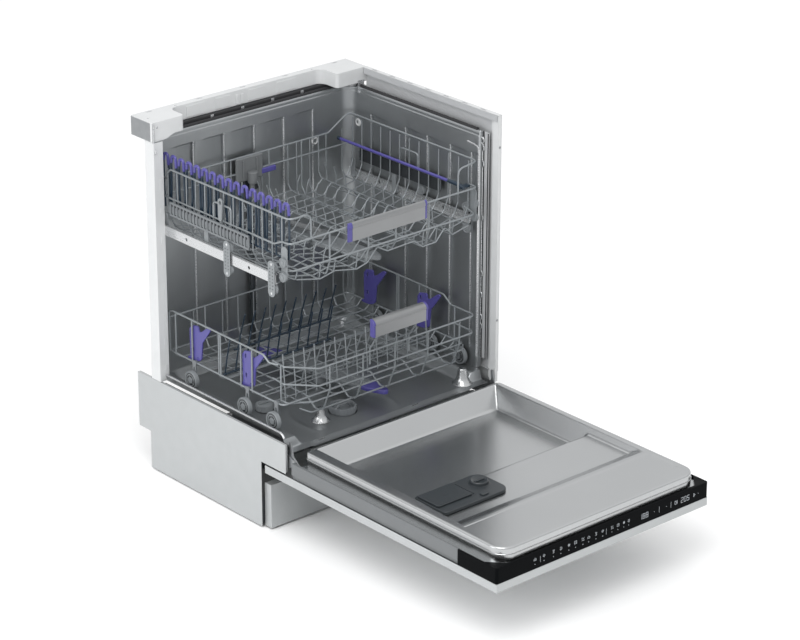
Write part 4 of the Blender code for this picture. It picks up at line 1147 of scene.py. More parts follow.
def door_rails():
    """The grey side rails and the cross members under the liner."""
    low, high = depth_box("door_frame")
    base = low.z
    bm = bmesh.new()
    for side in (-1, 1):
        section = [(0.2945, base), (0.2945, 0.1607), (0.298, 0.1607), (0.298, high.z), (0.2915, high.z)]
        section += [(0.2915, high.z - 0.003), (0.294, high.z - 0.006), (0.294, 0.164), (0.291, 0.164)]
        section.append((0.291, base))
        outline = [(x * side, z) for x, z in section]
        flat(bm, outline, low.y, high.y, "Y", 0.0004)
    for y in (low.y + 0.005, -0.3, -0.06):
        slab(bm, (-0.2925, y, base + 0.0008), (0.2925, y + 0.02, 0.158), 0.0012)
    piece("door_side_rails", bm, "strip_plastic", "door", "door_frame")


def soften(bm, width, wanted, segments=3):
    """Rounds the edges that wanted(edge) picks."""
    edges = [e for e in bm.edges if len(e.link_faces) == 2 and e.calc_face_angle(0.0) > 0.35 and wanted(e)]
    bmesh.ops.bevel(bm, geom=edges, offset=width, segments=segments, profile=0.5, affect="EDGES", clamp_overlap=True)
    return bm


def plain(bm):
    """Joins the flat faces, so that edges are only where the shape turns."""
    bmesh.ops.dissolve_limit(bm, angle_limit=0.002, verts=bm.verts, edges=bm.edges)
    return bm


def front_panel():
    """The outer door sheet, a shallow pan with rolled edges."""
    low, high = depth_box("door_front_panel")
    pan = bmesh.new()
    outline = rounded((low.x, low.y), (high.x, high.y), (0.003,) * 4, 4)
    flat(pan, outline, low.z, high.z, "Z", 0.0)
    plain(pan)
    soften(pan, 0.0016, lambda e: all(v.co.z < low.z + 0.0005 for v in e.verts), 3)
    under = [f for f in pan.faces if all(v.co.z > high.z - 0.0005 for v in f.verts)]
    bmesh.ops.delete(pan, geom=under, context="FACES")
    bmesh.ops.recalc_face_normals(pan, faces=pan.faces)
    pan.normal_update()
    lowest = min(pan.faces, key=lambda f: f.calc_center_median().z)
    if lowest.normal.z > 0:
        bmesh.ops.reverse_faces(pan, faces=pan.faces[:])
    thicken(pan, 0.0009)
    piece("door_outer_sheet", pan, "silver", "door", "door_front_panel")


def control_strip():
    """The glossy strip round the door's free edge."""
    low, high = depth_box("control_panel")
    wall, front = 0.0042, low.y
    outline = [(low.x, high.y)] + arc((low.x + 0.006, front + 0.006), 0.006, 180, 270, 6)
    outline += arc((high.x - 0.006, front + 0.006), 0.006, 270, 360, 6) + [(high.x, high.y), (high.x - wall, high.y)]
    outline += [(high.x - wall, front + 0.04), (high.x - 0.034, front + 0.0075)]
    outline += [(low.x + 0.034, front + 0.0075), (low.x + wall, front + 0.04), (low.x + wall, high.y)]
    bm = bmesh.new()
    flat(bm, outline, low.z, high.z, "Z", 0.0006)
    piece("control_strip", bm, "black_gloss", "door", "control_panel")


# Generic marks on a grid of 6 by 6: each is a list of strokes (x0, z0, x1, z1)
MARKS = {
    "pot": [(0, 0, 6, 0), (0, 0, 0, 3), (6, 0, 6, 3), (0, 3, 6, 3), (2, 5, 4, 5)],
    "glass": [(1, 6, 2, 3), (5, 6, 4, 3), (1, 6, 5, 6), (2, 3, 4, 3), (3, 3, 3, 0), (1, 0, 5, 0)],
    "plate": [(0, 3, 3, 6), (3, 6, 6, 3), (6, 3, 3, 0), (3, 0, 0, 3), (2, 3, 4, 3)],
    "drops": [(1, 6, 1, 4), (3, 6, 3, 4), (5, 6, 5, 4), (0, 2, 6, 2), (1, 0, 5, 0)],
    "clock": [(0, 0, 6, 0), (6, 0, 6, 6), (6, 6, 0, 6), (0, 6, 0, 0), (3, 3, 3, 5), (3, 3, 5, 3)],
    "cross": [(3, 0, 3, 6), (0, 3, 6, 3), (1, 1, 5, 5), (1, 5, 5, 1)],
    "half": [(0, 0, 6, 6), (0, 6, 2, 6), (0, 6, 0, 4), (4, 0, 6, 0), (6, 0, 6, 2)],
    "start": [(1, 0, 1, 6), (1, 6, 5, 3), (5, 3, 1, 0)],
    "bar": [(3, 0, 3, 6)],
    "dot": [(2.6, 3, 3.4, 3)],
}
SEGMENTS = {
    "a": (0, 6, 3, 6), "b": (3, 6, 3, 3), "c": (3, 3, 3, 0), "d": (0, 0, 3, 0), "e": (0, 0, 0, 3),
    "f": (0, 3, 0, 6), "g": (0, 3, 3, 3),
}
DIGITS = {"0": "abcdef", "1": "bc", "2": "abged", "3": "abgcd", "5": "afgcd", "8": "abcdefg"}


# Where the signs stand along the strip
PROGRAMME_PLACES = (-0.195, -0.1706, -0.1445, -0.1243, -0.1022, -0.0839, -0.0635, -0.0472, -0.0267, -0.0082)
OPTION_PLACES = (0.0186, 0.0354, 0.0521, 0.0659)


def stroke(bm, start, end, width, front):
    """A thin printed stroke on the strip's face."""
    a, b = Vector(start), Vector(end)
    along = (b - a).normalized()
    across = Vector((-along.y, along.x)) * width / 2
    a, b = a - along * width / 2, b + along * width / 2
    corners = [a - across, b - across, b + across, a + across]
    back = [bm.verts.new((p.x, front + 0.00005, p.y)) for p in corners]
    face = [bm.verts.new((p.x, front - 0.00012, p.y)) for p in corners]
    bm.faces.new(face)
    bm.faces.new(list(reversed(back)))
    for k in range(4):
        n = (k + 1) % 4
        bm.faces.new((face[k], back[k], back[n], face[n]))


def mark(bm, strokes, x, z, size, front, width=0.00055):
    unit = size / 6
    for x0, z0, x1, z1 in strokes:
        stroke(bm, (x + x0 * unit, z + z0 * unit), (x + x1 * unit, z + z1 * unit), width, front)


def strip_marks():
    """Plain programme signs, level dots and a time display along the strip's face."""
    low, high = depth_box("control_panel")
    front, middle = low.y, (low.z + high.z) / 2
    bm = bmesh.new()
    names = ["pot", "plate", "glass", "drops", "cross", "clock", "half", "pot", "glass", "plate"]
    for name, x in zip(names, PROGRAMME_PLACES):
        mark(bm, MARKS[name], x - 0.0031, middle + 0.0015, 0.0062, front)
        mark(bm, MARKS["dot"], x - 0.0025, middle - 0.009, 0.005, front, 0.0011)
    for name, x in zip(["half", "clock", "cross", "drops"], OPTION_PLACES):
        mark(bm, MARKS[name], x - 0.0028, middle + 0.001, 0.0056, front)
        mark(bm, MARKS["dot"], x - 0.0028, middle - 0.0085, 0.005, front, 0.001)
    for x in (-0.1806, 0.002, 0.1537, 0.188):
        mark(bm, MARKS["bar"], x - 0.0065, middle - 0.0065, 0.013, front, 0.0005)
    for start, digits in ((0.098, "188"), (0.218, "205")):
        for number, digit in enumerate(digits):
            strokes = [SEGMENTS[s] for s in DIGITS[digit]]
            mark(bm, strokes, start + number * 0.0088, middle - 0.0055, 0.011, front, 0.0008)
    for name, x in (("dot", 0.1395), ("dot", 0.175), ("clock", 0.203), ("start", 0.257), ("dot", 0.2685)):
        mark(bm, MARKS[name], x - 0.0035, middle - 0.0035, 0.007, front, 0.0007)
    piece("strip_signs", bm, "print", "door", even=False)


def dispenser_span():
    """The collar's edges: the clear space round the lid and the cap is narrower at the front and right."""
    low, high = depth_box("dispenser_body")
    return low.x, high.x - 0.007, low.y + 0.012, high.y


def dispenser():
    """The detergent and rinse-aid dispenser in its collar."""
    low, high = depth_box("dispenser_body")
    x0, x1, y0, y1 = dispenser_span()
    lid_low, lid_high = depth_box("dispenser_lid")
    face = high.z
    bm = bmesh.new()
    collar = rounded((x0, y0), (x1, y1), (0.01, 0.022, 0.022, 0.006), 6)
    flat(bm, collar, high.z - 0.0067, high.z, "Z", 0.0016, segments=3)
    slab(bm, (x0 + 0.008, y0 + 0.008, low.z), (x1 - 0.008, y1 - 0.008, high.z - 0.0015), 0.003)
    hinge = lid_high.x + 0.004
    slab(bm, (hinge, lid_low.y + 0.002, face - 0.001), (hinge + 0.003, lid_high.y - 0.004, face + 0.0016), 0.0008)
    latch = rounded((lid_high.x + 0.011, y0 + 0.008), (lid_high.x + 0.03, y0 + 0.021), (0.004,) * 4, 4)
    flat(bm, latch, high.z - 0.001, high.z + 0.003, "Z", 0.001, segments=3)
    ring = [(0.021, 0.0012), (0.0228, 0.0006), (0.0232, -0.001), (0.021, -0.001)]
    cap = middle_of("rinse_aid_cap")
    lathe(bm, ring, (cap.x, cap.y, face), "Z", 48)
    piece("dispenser_housing", bm, "slate", "door", "dispenser_body")
    dispenser_flap(lid_low, lid_high)


def dispenser_flap(lid_low, lid_high):
    """The detergent lid with its grip bars."""
    lid = bmesh.new()
    outline = rounded((lid_low.x, lid_low.y), (lid_high.x, lid_high.y), (0.007, 0.004, 0.0015, 0.0015), 5)
    flat(lid, outline, lid_low.z, lid_high.z, "Z", 0.0009, segments=3)
    middle, face = (lid_low + lid_high) / 2, lid_high.z
    start = (middle.x - 0.0055, middle.y - 0.004, face - 0.0004)
    end = (middle.x + 0.0055, middle.y + 0.004, face + 0.0004)
    slab(lid, start, end, 0.0003)
    y = lid_low.y + 0.003
    slab(lid, (lid_low.x + 0.01, y, face - 0.0004), (lid_high.x - 0.012, y + 0.0016, face + 0.0006), 0.0004)
    piece("dispenser_flap", lid, "slate", "detergent_lid", "dispenser_lid")


def rinse_aid_cap():
    """A round cap with a grip bar across a dished face."""
    low, high = depth_box("rinse_aid_cap")
    centre = (low + high) / 2
    bm = bmesh.new()
    cap = [(0.0, high.z - 0.003), (0.012, high.z - 0.0028), (0.015, high.z - 0.0008), (0.0172, high.z - 0.0003)]
    cap += [(0.0192, high.z - 0.002), (0.02, low.z), (0.0, low.z)]
    lathe(bm, cap, (centre.x, centre.y, 0.0), "Z", 48)
    slab(
        bm, (centre.x - 0.0135, centre.y - 0.0028, high.z - 0.004), (centre.x + 0.0135, centre.y + 0.0028, high.z),
        0.0012, 3,
    )
    piece("rinse_aid_knob", bm, "slate", "rinse_aid_cap", "rinse_aid_cap")


def hinge_arms():
    """The door's hinge arms, bored for the pins."""
    y, z = -0.0148, 0.1833
    for word in SIDES:
        low, high = depth_box(f"hinge_arm_{word}")
        outline = [(low.y, low.z), (-0.03, low.z)] + arc((y, z), 0.011, 270, 350, 6)
        outline += [(-0.0005, 0.19), (0.0015, 0.2265), (-0.0045, 0.2275), (-0.012, 0.1965), (-0.033, 0.18)]
        outline += [(low.y, 0.18)]
        holes = [arc((y, z), 0.0033, 0, 337.5, 15)]
        holes += [rounded((-0.1, 0.169), (-0.06, 0.1745), (0.0025,) * 4, 4)]
        bm = bmesh.new()
        flat(bm, outline, low.x, high.x, "X", 0.0005, holes)
        piece(f"hinge_lever_{word}", bm, "hinge_steel", "door", f"hinge_arm_{word}")


def door():
    door_liner()
    liner_ledge()
    door_rails()
    front_panel()
    control_strip()
    strip_marks()
    dispenser()
    rinse_aid_cap()
    hinge_arms()


# Rails and brackets


def rails():
    """Bright channels, open towards the rack, with two holes in the web."""
    for word, side in SIDES.items():
        low, high = depth_box(f"rail_{word}")
        outer, inner = (low.x, high.x) if side < 0 else (high.x, low.x)
        middle = (low.z + high.z) / 2
        bm = bmesh.new()
        holes = [arc((y, middle), 0.0036, 0, 330, 11) for y in (0.146, 0.359)]
        outline = rounded((low.y, low.z), (high.y, high.z), (0.003,) * 4, 4)
        flat(bm, outline, *sorted((outer, outer - side * 0.0017)), "X", 0.0008, holes)
        for z in (low.z, high.z - 0.0015):
            ends = sorted((outer - side * 0.0002, inner))
            slab(bm, (ends[0], low.y + 0.0005, z), (ends[1], high.y - 0.0005, z + 0.0015), 0.0007)
        piece(f"slide_rail_{word}", bm, "rail_steel", "rails", f"rail_{word}")


def roller_brackets():
    """Oblong brackets with a row of dimples, two screws and a grooved roller above and below the rail."""
    rail_low, rail_high = depth_box("rail_left")
    radius = 0.012
    roller = [(0.003, 0.0034), (0.006, 0.0036), (0.0066, 0.0028), (0.0096, 0.0028), (0.0102, 0.0036)]
    roller += [(radius - 0.0004, 0.0036), (radius, 0.003), (radius - 0.0006, 0.0), (radius, -0.003)]
    roller += [(radius - 0.0004, -0.0036), (0.003, -0.0036)]
    pin = [(0.0, 0.0032), (0.0028, 0.0032), (0.0028, -0.0036), (0.0, -0.0036)]
    for word, side in SIDES.items():
        turn = HALF_TURN if side > 0 else None
        for place in ("front", "rear"):
            name = f"roller_bracket_{word}_{place}"
            low, high = depth_box(name)
            y = (low.y + high.y) / 2
            outer = low.x if side < 0 else high.x
            plate = sorted((outer, outer - side * 0.0014))
            bm = bmesh.new()
            places = [(y + dy, z) for z in steps_between(0.548, 0.5925, 0.0075) for dy in (-0.0045, 0.0045)]
            dimples = [arc(place, 0.0015, 0, 300, 5) for place in places]
            flat(bm, rounded((y - 0.011, low.z), (y + 0.011, high.z), (0.011,) * 4, 6), *plate, "X", 0.0009, dimples)
            for z in (rail_high.z + 0.0003 + radius, rail_low.z - 0.0003 - radius):
                lathe(bm, roller, (side * 0.2702, y, z), "X", 28, turn)
                lathe(bm, pin, (side * 0.2702, y, z), "X", 14)
            piece(f"slide_bracket_{word}_{place}", bm, "pale_plastic", "cabinet", name)
            backing = bmesh.new()
            back = sorted((outer - side * 0.0016, outer - side * 0.003))
            slab(backing, (back[0], y - 0.008, 0.544), (back[1], y + 0.008, 0.5965), 0.0004)
            piece(f"bracket_backing_{word}_{place}", backing, "dark_plastic", "cabinet")
            heads = [((outer, y, z), "X", side) for z in (low.z + 0.008, high.z - 0.008)]
            screws(f"{place}_{word}_bracket_screws", "cabinet", heads, 0.0032)


# Upper rack

UPPER_LOW, UPPER_HIGH = depth_box("upper_basket")
CAD_WIRE = 0.002
UPPER_HALF = UPPER_HIGH.x - CAD_WIRE
UPPER_FRONT, UPPER_BACK = UPPER_LOW.y + CAD_WIRE, UPPER_HIGH.y - CAD_WIRE
UPPER_RIM = UPPER_HIGH.z - CAD_WIRE
UPPER_MID, UPPER_TOP_WIRE, UPPER_SECOND_WIRE, UPPER_REAR_WIRE = 0.642, 0.654, 0.593, 0.678
# (x, z) of the floor's ridges and valleys, as every cross wire is bent
FLOOR_WAVE = [
    (-0.24, 0.572), (-0.177, 0.557), (-0.137, 0.565), (-0.077, 0.553), (-0.048, 0.56), (-0.02, 0.588),
    (0.009, 0.572), (0.083, 0.575), (0.108, 0.556), (0.146, 0.557), (0.171, 0.584), (0.193, 0.562), (0.24, 0.572),
]


def wires(name, body, runs, *nodes, look="wire"):
    """One welded wire structure, from runs of (points, radius, bend)."""
    bm = bmesh.new()
    for points, radius, bend in runs:
        sweep(bm, points, radius, bend, sides=8)
    piece(name, bm, look, body, *nodes, even=False)


def upper_frame_runs():
    half, front, back = UPPER_HALF, UPPER_FRONT, UPPER_BACK
    gate = 0.204
    runs = []
    rim = [(-gate, front, UPPER_TOP_WIRE), (-gate, front, UPPER_RIM), (-half, front, UPPER_RIM)]
    rear = [(-half, back - 0.026, UPPER_RIM), (-half, back, UPPER_REAR_WIRE)]
    right = [(half, back, UPPER_RIM + 0.006)] + [(-x, y, z + 0.006) for x, y, z in reversed(rim[2:])]
    rim = rim + rear + [(half - 0.06, back, UPPER_REAR_WIRE)] + right + mirrored(rim[:2])
    runs.append((rim, THICK_WIRE, 0.016))
    belt = [(0.0, back, UPPER_MID), (-half, back, UPPER_MID), (-half, 0.075, UPPER_MID)]
    belt += [(-half, 0.05, UPPER_TOP_WIRE), (-half, front, UPPER_TOP_WIRE)]
    belt += mirrored(belt)
    runs.append((belt, THICK_WIRE, 0.014))
    second = [(-half + 0.003, 0.062, 0.6), (-half + 0.004, front + 0.001, UPPER_SECOND_WIRE)]
    second += mirrored(second)
    runs.append((second, THICK_WIRE, 0.012))
    runs.append(([(x, front + 0.005, z - 0.0015) for x, z in FLOOR_WAVE], THIN_WIRE, 0.006))
    return runs


def upper_rack_wires():
    """The upper rack: rim, belt, waved floor wires, uprights and short cup tines."""
    half, front, back = UPPER_HALF - 0.0014, UPPER_FRONT + 0.0014, UPPER_BACK - 0.0014
    runs = upper_frame_runs()
    for y in steps_between(0.052, 0.436, 0.0325):
        side = [(-half, y, UPPER_RIM), (-half, y, 0.604), (-0.247, y, 0.58)]
        hoop = side + [(x, y, z) for x, z in FLOOR_WAVE] + mirrored(side)
        runs.append((hoop, THIN_WIRE, 0.006))
    for x, z in FLOOR_WAVE:
        floor = z - 0.0028
        path = [(x, front, UPPER_SECOND_WIRE), (x, front + 0.006, floor), (x, back - 0.01, floor)]
        runs.append((path + [(x, back, floor + 0.014), (x, back, UPPER_REAR_WIRE)], THIN_WIRE, 0.008))
    for x in (-0.153, -0.047, 0.029, 0.122):
        floor = between(FLOOR_WAVE, x) - 0.004
        path = [(x, front, UPPER_TOP_WIRE), (x, front, 0.59), (x, front + 0.012, floor), (x, back - 0.014, floor)]
        runs.append((path + [(x, back, floor + 0.02), (x, back, UPPER_REAR_WIRE)], CAD_WIRE, 0.008))
    for x, lean in ((-0.137, 0.01), (-0.02, -0.008), (0.083, 0.01), (0.171, -0.008)):
        for y in steps_between(0.068, 0.42, 0.0325):
            foot = between(FLOOR_WAVE, x)
            cup_tine = [(x, y, foot), (x + lean * 0.3, y, foot + 0.024), (x + lean, y, foot + 0.039)]
            runs.append((cup_tine, THIN_WIRE, 0.02))
    wires("upper_wire_rack", "upper_rack", runs, "upper_basket")


def rack_loops():
    """The raised wire loop that guards the height lever, on both sides of the upper rack."""
    lever = middle_of("adjuster_lever")
    for word, side in SIDES.items():
        x = side * (UPPER_HALF + 0.0003)
        y0, y1 = lever.y - 0.03, lever.y + 0.029
        path = [(x, y0, UPPER_MID), (x, y0, 0.678), (x, y1, 0.678), (x, y1, UPPER_MID)]
        wires(f"guard_loop_{word}", "upper_rack", [(path, CAD_WIRE, 0.008)])


def lip_section(low, high, lip, wall=None):
    """A grip's section (y, z): a flat face under a lip that rolls back, solid or as a wall."""
    face = low.y + 0.0014
    roll = [math.radians(a) for a in range(0, 91, 15)]
    depth = high.y - low.y
    outer = [(face, low.z), (face, high.z - lip - 0.0014)]
    outer += [(low.y + depth * (1 - math.cos(a)), high.z - lip + lip * math.sin(a)) for a in roll]
    if wall is None:
        return outer + [(high.y, low.z)]
    inner = [(face + wall, low.z), (face + wall, high.z - lip)]
    inner += [
        (low.y + wall + (depth - wall) * (1 - math.cos(a)), high.z - lip + (lip - wall) * math.sin(a)) for a in roll
    ]
    return outer + list(reversed(inner))


def grip(name, node, body, lip, wall, overhang=0.0):
    """An aluminium grip bar with moulded end caps."""
    low, high = depth_box(node)
    cap = 0.0055
    bm = bmesh.new()
    flat(bm, lip_section(low, high, lip, wall), low.x + cap, high.x - cap, "X", 0.0002)
    piece(name, bm, "aluminium", body, node, angle=30)
    caps = bmesh.new()
    for x0, x1 in ((low.x - overhang, low.x + cap), (high.x - cap, high.x)):
        flat(caps, lip_section(low, high, lip), x0, x1, "X", 0.0009, segments=3)
    piece(f"{name}_caps", caps, "violet", body)


def height_adjusters():
    """The ribbed housings on the upper rack's sides, and the left one's lever."""
    for word, side in SIDES.items():
        low, high = depth_box(f"height_adjuster_{word}")
        outer, inner = (low.x, high.x) if side < 0 else (high.x, low.x)
        core = bmesh.new()
        ends = sorted((inner, outer - side * 0.003))
        slab(core, (ends[0], low.y + 0.002, low.z + 0.002), (ends[1], high.y - 0.002, high.z - 0.002), 0.0006)
        piece(f"adjuster_core_{word}", core, "dark_plastic", "upper_rack")
        ends = sorted((outer, outer - side * 0.0042))
        bm = bmesh.new()
        for z0, z1 in ((low.z, low.z + 0.0048), (high.z - 0.0048, high.z)):
            slab(bm, (ends[0], low.y, z0), (ends[1], high.y, z1), 0.0009)
        for y in steps_between(low.y, high.y - 0.004, 0.0115):
            slab(bm, (ends[0] + 0.0003, y, low.z + 0.001), (ends[1], y + 0.004, high.z - 0.001), 0.0007)
            slab(
                bm, (ends[0] + 0.0012, y + 0.0055, low.z + 0.006), (ends[1] - 0.0008, y + 0.0095, high.z - 0.01),
                0.0006,
            )
        piece(f"ribbed_housing_{word}", bm, "grey_plastic", "upper_rack", f"height_adjuster_{word}")
    low, high = depth_box("adjuster_lever")
    y = (low.y + high.y) / 2
    outline = arc((y, low.z + 0.006), 0.0056, 180, 360, 8) + arc((y - 0.001, high.z - 0.008), 0.0078, 0, 180, 8)
    window = arc((y - 0.001, high.z - 0.01), 0.0038, 0, 337.5, 15)
    bm = bmesh.new()
    flat(bm, outline, low.x, high.x, "X", 0.0011, [window], segments=3)
    lathe(bm, [(0.0, 0.0003), (0.003, 0.0002), (0.0036, -0.0008), (0.0, -0.0008)],
          (low.x, y, low.z + 0.0065), "X", 16, HALF_TURN)
    piece("release_lever", bm, "pale_plastic", "height_lever", "adjuster_lever")


def glass_comb():
    """The folding comb: a dark wire base whose arches wear coloured caps, longer on the front leg."""
    low, high = depth_box("glass_comb")
    x, base, top = (low.x + high.x) / 2, low.z + 0.002, high.z + 0.0005
    cap_low, knee = 0.712, base + 0.05
    arches, pitch, first, width = 16, 0.027, 0.0365, 0.019
    legs, caps = bmesh.new(), bmesh.new()
    sweep(legs, [(x, low.y + 0.002, base), (x, high.y - 0.002, base)], 0.0018)
    sweep(legs, [(x, low.y + 0.006, base + 0.022), (x, high.y - 0.006, base + 0.022)], 0.0013)
    for number in range(arches):
        front = first + number * pitch
        rear = front + width
        foot = -0.003 if number % 2 else 0.003
        sweep(legs, [(x, front + foot, base), (x, front, knee), (x, front + 0.001, cap_low + 0.008)], 0.0026, 0.01)
        sweep(legs, [(x, rear + foot, base), (x, rear, knee), (x, rear - 0.001, cap_low + 0.014)], 0.0026, 0.01)
        arch = [(x, front + 0.001, cap_low), (x, front + 0.003, top), (x, rear - 0.003, top)]
        arch.append((x, rear - 0.001, cap_low + 0.008))
        sweep(caps, arch, 0.0034, 0.0085)
    piece("comb_wires", legs, "navy", "glass_comb", "glass_comb", even=False)
    piece("comb_caps", caps, "violet", "glass_comb", even=False)


def right_shelf_rod():
    """The soft rod of the folded shelf on the upper rack's right side, with its dark end bracket."""
    x, z, y0, y1 = 0.23, 0.66, 0.082, 0.446
    bm = bmesh.new()
    sweep(bm, [(x, y0, z), (x, y1, z)], 0.0034, sides=12)
    piece("shelf_rod", bm, "violet", "upper_rack", even=False)
    ends = bmesh.new()
    sweep(ends, [(x, 0.034, z - 0.004), (x, 0.06, z), (x, y0 + 0.002, z)], 0.0046, 0.01, sides=12)
    slab(ends, (x - 0.003, 0.044, z - 0.01), (UPPER_HALF - 0.003, 0.056, z - 0.004), 0.0015)
    sweep(ends, [(x, y1 - 0.002, z), (x, y1 + 0.006, z)], 0.0042, sides=12)
    piece("shelf_rod_ends", ends, "navy", "upper_rack", even=False)


def rack_hangers():
    """Front rollers and the small wheels that carry the upper rack in its rails."""
    rail_low, rail_high = depth_box("rail_left")
    z = (rail_low.z + rail_high.z) / 2
    roller = [(0.0, 0.003), (0.004, 0.0032), (0.0046, 0.0018), (0.008, 0.0016), (0.0086, 0.003)]
    roller += [(0.0102, 0.0026), (0.0106, 0.0), (0.0102, -0.0026), (0.0086, -0.003), (0.0, -0.003)]
    bm = bmesh.new()
    for side in SIDES.values():
        turn = HALF_TURN if side < 0 else None
        for wheel_z in (0.612, 0.58):
            lathe(bm, roller, (side * 0.2672, 0.0395, wheel_z), "X", 24, turn)
        plate = sorted((side * 0.2618, side * 0.2642))
        flat(bm, rounded((0.03, 0.572), (0.049, 0.646), (0.008,) * 4, 5), *plate, "X", 0.0008)
        for y in (0.3, 0.44):
            wheel = [(radius * 0.82, height) for radius, height in roller]
            lathe(bm, wheel, (side * 0.2674, y, z), "X", 24, turn)
            flat(
                bm, rounded((y - 0.007, z - 0.008), (y + 0.007, 0.6075), (0.006, 0.006, 0.002, 0.002), 5), *plate,
                "X", 0.0006,
            )
    piece("rack_hangers", bm, "pale_plastic", "upper_rack")


def upper_feed():
    """The feed tube from the rear coupling to the upper rotor's hub."""
    arm = middle_of("upper_spray_arm")
    hub_top = depth_box("upper_spray_arm")[1].z
    riser_front = RISER_Y - 0.0053
    bm = bmesh.new()
    tube_z = hub_top + 0.0125
    path = [(arm.x, arm.y, hub_top + 0.0012), (arm.x, arm.y, tube_z), (-0.012, 0.3, tube_z)]
    path += [(-0.024, riser_front - 0.012, tube_z), (-0.024, riser_front - 0.012, 0.634)]
    sweep(bm, path, 0.0062, 0.014, sides=16)
    lathe(bm, [(0.0, 0.012), (0.0165, 0.01), (0.019, 0.0), (0.0, 0.0)], (arm.x, arm.y, hub_top + 0.0008), "Z", 32)
    slab(bm, (-0.064, riser_front - 0.0085, 0.622), (0.01, riser_front - 0.0012, 0.677), 0.003, 3)
    for x in (-0.046, -0.008):
        slab(bm, (x - 0.0022, riser_front - 0.0115, 0.628), (x + 0.0022, riser_front - 0.007, 0.671), 0.001)
    barrel = [(0.0, 0.014), (0.01, 0.014), (0.012, 0.012), (0.012, -0.01), (0.0105, -0.013), (0.0, -0.013)]
    lathe(bm, barrel, (-0.024, riser_front - 0.014, 0.63), "Z", 28)
    piece("upper_feed_tube", bm, "strip_plastic", "upper_rack")
    latch = bmesh.new()
    slab(latch, (0.006, riser_front - 0.01, 0.629), (0.046, riser_front - 0.004, 0.641), 0.0022, 3)
    piece("coupling_latch", latch, "violet", "upper_rack")


def upper_rack():
    upper_rack_wires()
    rack_loops()
    grip("upper_grip", "upper_handle", "upper_rack", 0.011, None, 0.006)
    height_adjusters()
    glass_comb()
    right_shelf_rod()
    rack_hangers()
    upper_feed()


# Rotors


def blade_outline(reach, inner, outer):
    """The rotor blade's outline between two distances from the hub, along +x; its tip is round."""
    lower = [(0.0, -0.0285), (0.79, -0.0165), (0.93, -0.0095)]
    upper = [(0.0, 0.0285), (0.79, 0.0205), (0.93, 0.0125)]
    shares = [s for s in (0.0, 0.2, 0.4, 0.6, 0.79, 0.86, 0.93) if inner / reach < s < outer / reach]
    shares = [inner / reach, *shares] + ([outer / reach] if outer < reach else [])
    outline = [(s * reach, between(lower, s)) for s in shares]
    if outer >= reach:
        outline += [(reach * 0.975, -0.006), (reach * 0.995, 0.001), (reach * 0.975, 0.008)]
    return outline + [(s * reach, between(upper, s)) for s in reversed(shares)]


def rotor(name, node, body, reach, tip_look, tip_length):
    """A two-armed rotor with a domed hub, nozzles on raised pads and separate end pieces."""
    low, high = depth_box(node)
    centre = (low + high) / 2
    turn = math.radians(-81)
    blade_low, blade_high = high.z - 0.0125, high.z - 0.002
    arm, tips = bmesh.new(), bmesh.new()
    split = reach - tip_length

    def placed(points, half_turn):
        spin = Matrix.Rotation(turn + (math.pi if half_turn else 0.0), 2)
        return [tuple(spin @ Vector(p) + Vector((centre.x, centre.y))) for p in points]

    pad = [(0.0, 0.001), (0.0014, 0.001), (0.0016, 0.0014), (0.0042, 0.0012), (0.0052, -0.0004), (0.0, -0.0004)]
    for half_turn in (False, True):
        flat(arm, placed(blade_outline(reach, 0.01, split), half_turn), blade_low, blade_high, "Z", 0.003, segments=4)
        outline = placed(blade_outline(reach, split - 0.0004, reach), half_turn)
        flat(tips, outline, blade_low - 0.0001, blade_high + 0.0002, "Z", 0.003, segments=4)
        for number, share in enumerate((0.3, 0.44, 0.58, 0.7, 0.9)):
            side = 0.01 if number % 2 else -0.008
            (x, y), = placed([(share * reach, side * (1.2 - share))], half_turn)
            lathe(tips if share * reach > split else arm, pad, (x, y, blade_high), "Z", 20)
    hub = [(0.0, high.z - 0.0001), (0.008, high.z - 0.0001), (0.01, high.z - 0.001), (0.015, high.z - 0.0004)]
    hub += [(0.0196, high.z - 0.003), (0.02, low.z + 0.001), (0.019, low.z), (0.0, low.z)]
    lathe(arm, hub, (centre.x, centre.y, 0.0), "Z", 40)
    piece(f"{name}_body", arm, "grey_plastic", body, node)
    piece(f"{name}_tips", tips, tip_look, body)


def rotors():
    for node, word, tip_look, tip_length in (
        ("lower_spray_arm", "lower_rotor", "violet", 0.06),
        ("upper_spray_arm", "upper_rotor", "grey_plastic", 0.035),
    ):
        low, high = depth_box(node)
        rotor(word, node, node, (high.y - low.y) / 2 / math.cos(math.radians(9)), tip_look, tip_length)


# Lower rack

WHEEL_Z = middle_of("wheel_left_1").z
LOWER_HALF = 0.255
LOWER_FRONT, LOWER_BACK = 0.02, 0.45
LOWER_MID, LOWER_KNEE, LOWER_FLOOR = 0.28, 0.2755, 0.2655
FRONT_RIM, SIDE_RIM, REAR_RIM = 0.359, 0.376, 0.37
TINE_PITCH = 0.0287
SIDE_HOOPS = [0.086, 0.165, 0.203, 0.2725, 0.2785, 0.372, 0.43]


def wheel_depths():
    return [middle_of(f"wheel_left_{n}").y for n in (1, 2, 3)]


def front_corner(z, inset=0.0):
    """The lower rack's drawn-in front left corner and its front, at a height."""
    y = LOWER_FRONT + inset
    return [(-0.235, 0.118, z), (-0.239, 0.075 + inset, z), (-0.188, y, z), (LOWER_HALF - 0.009, y, z)]


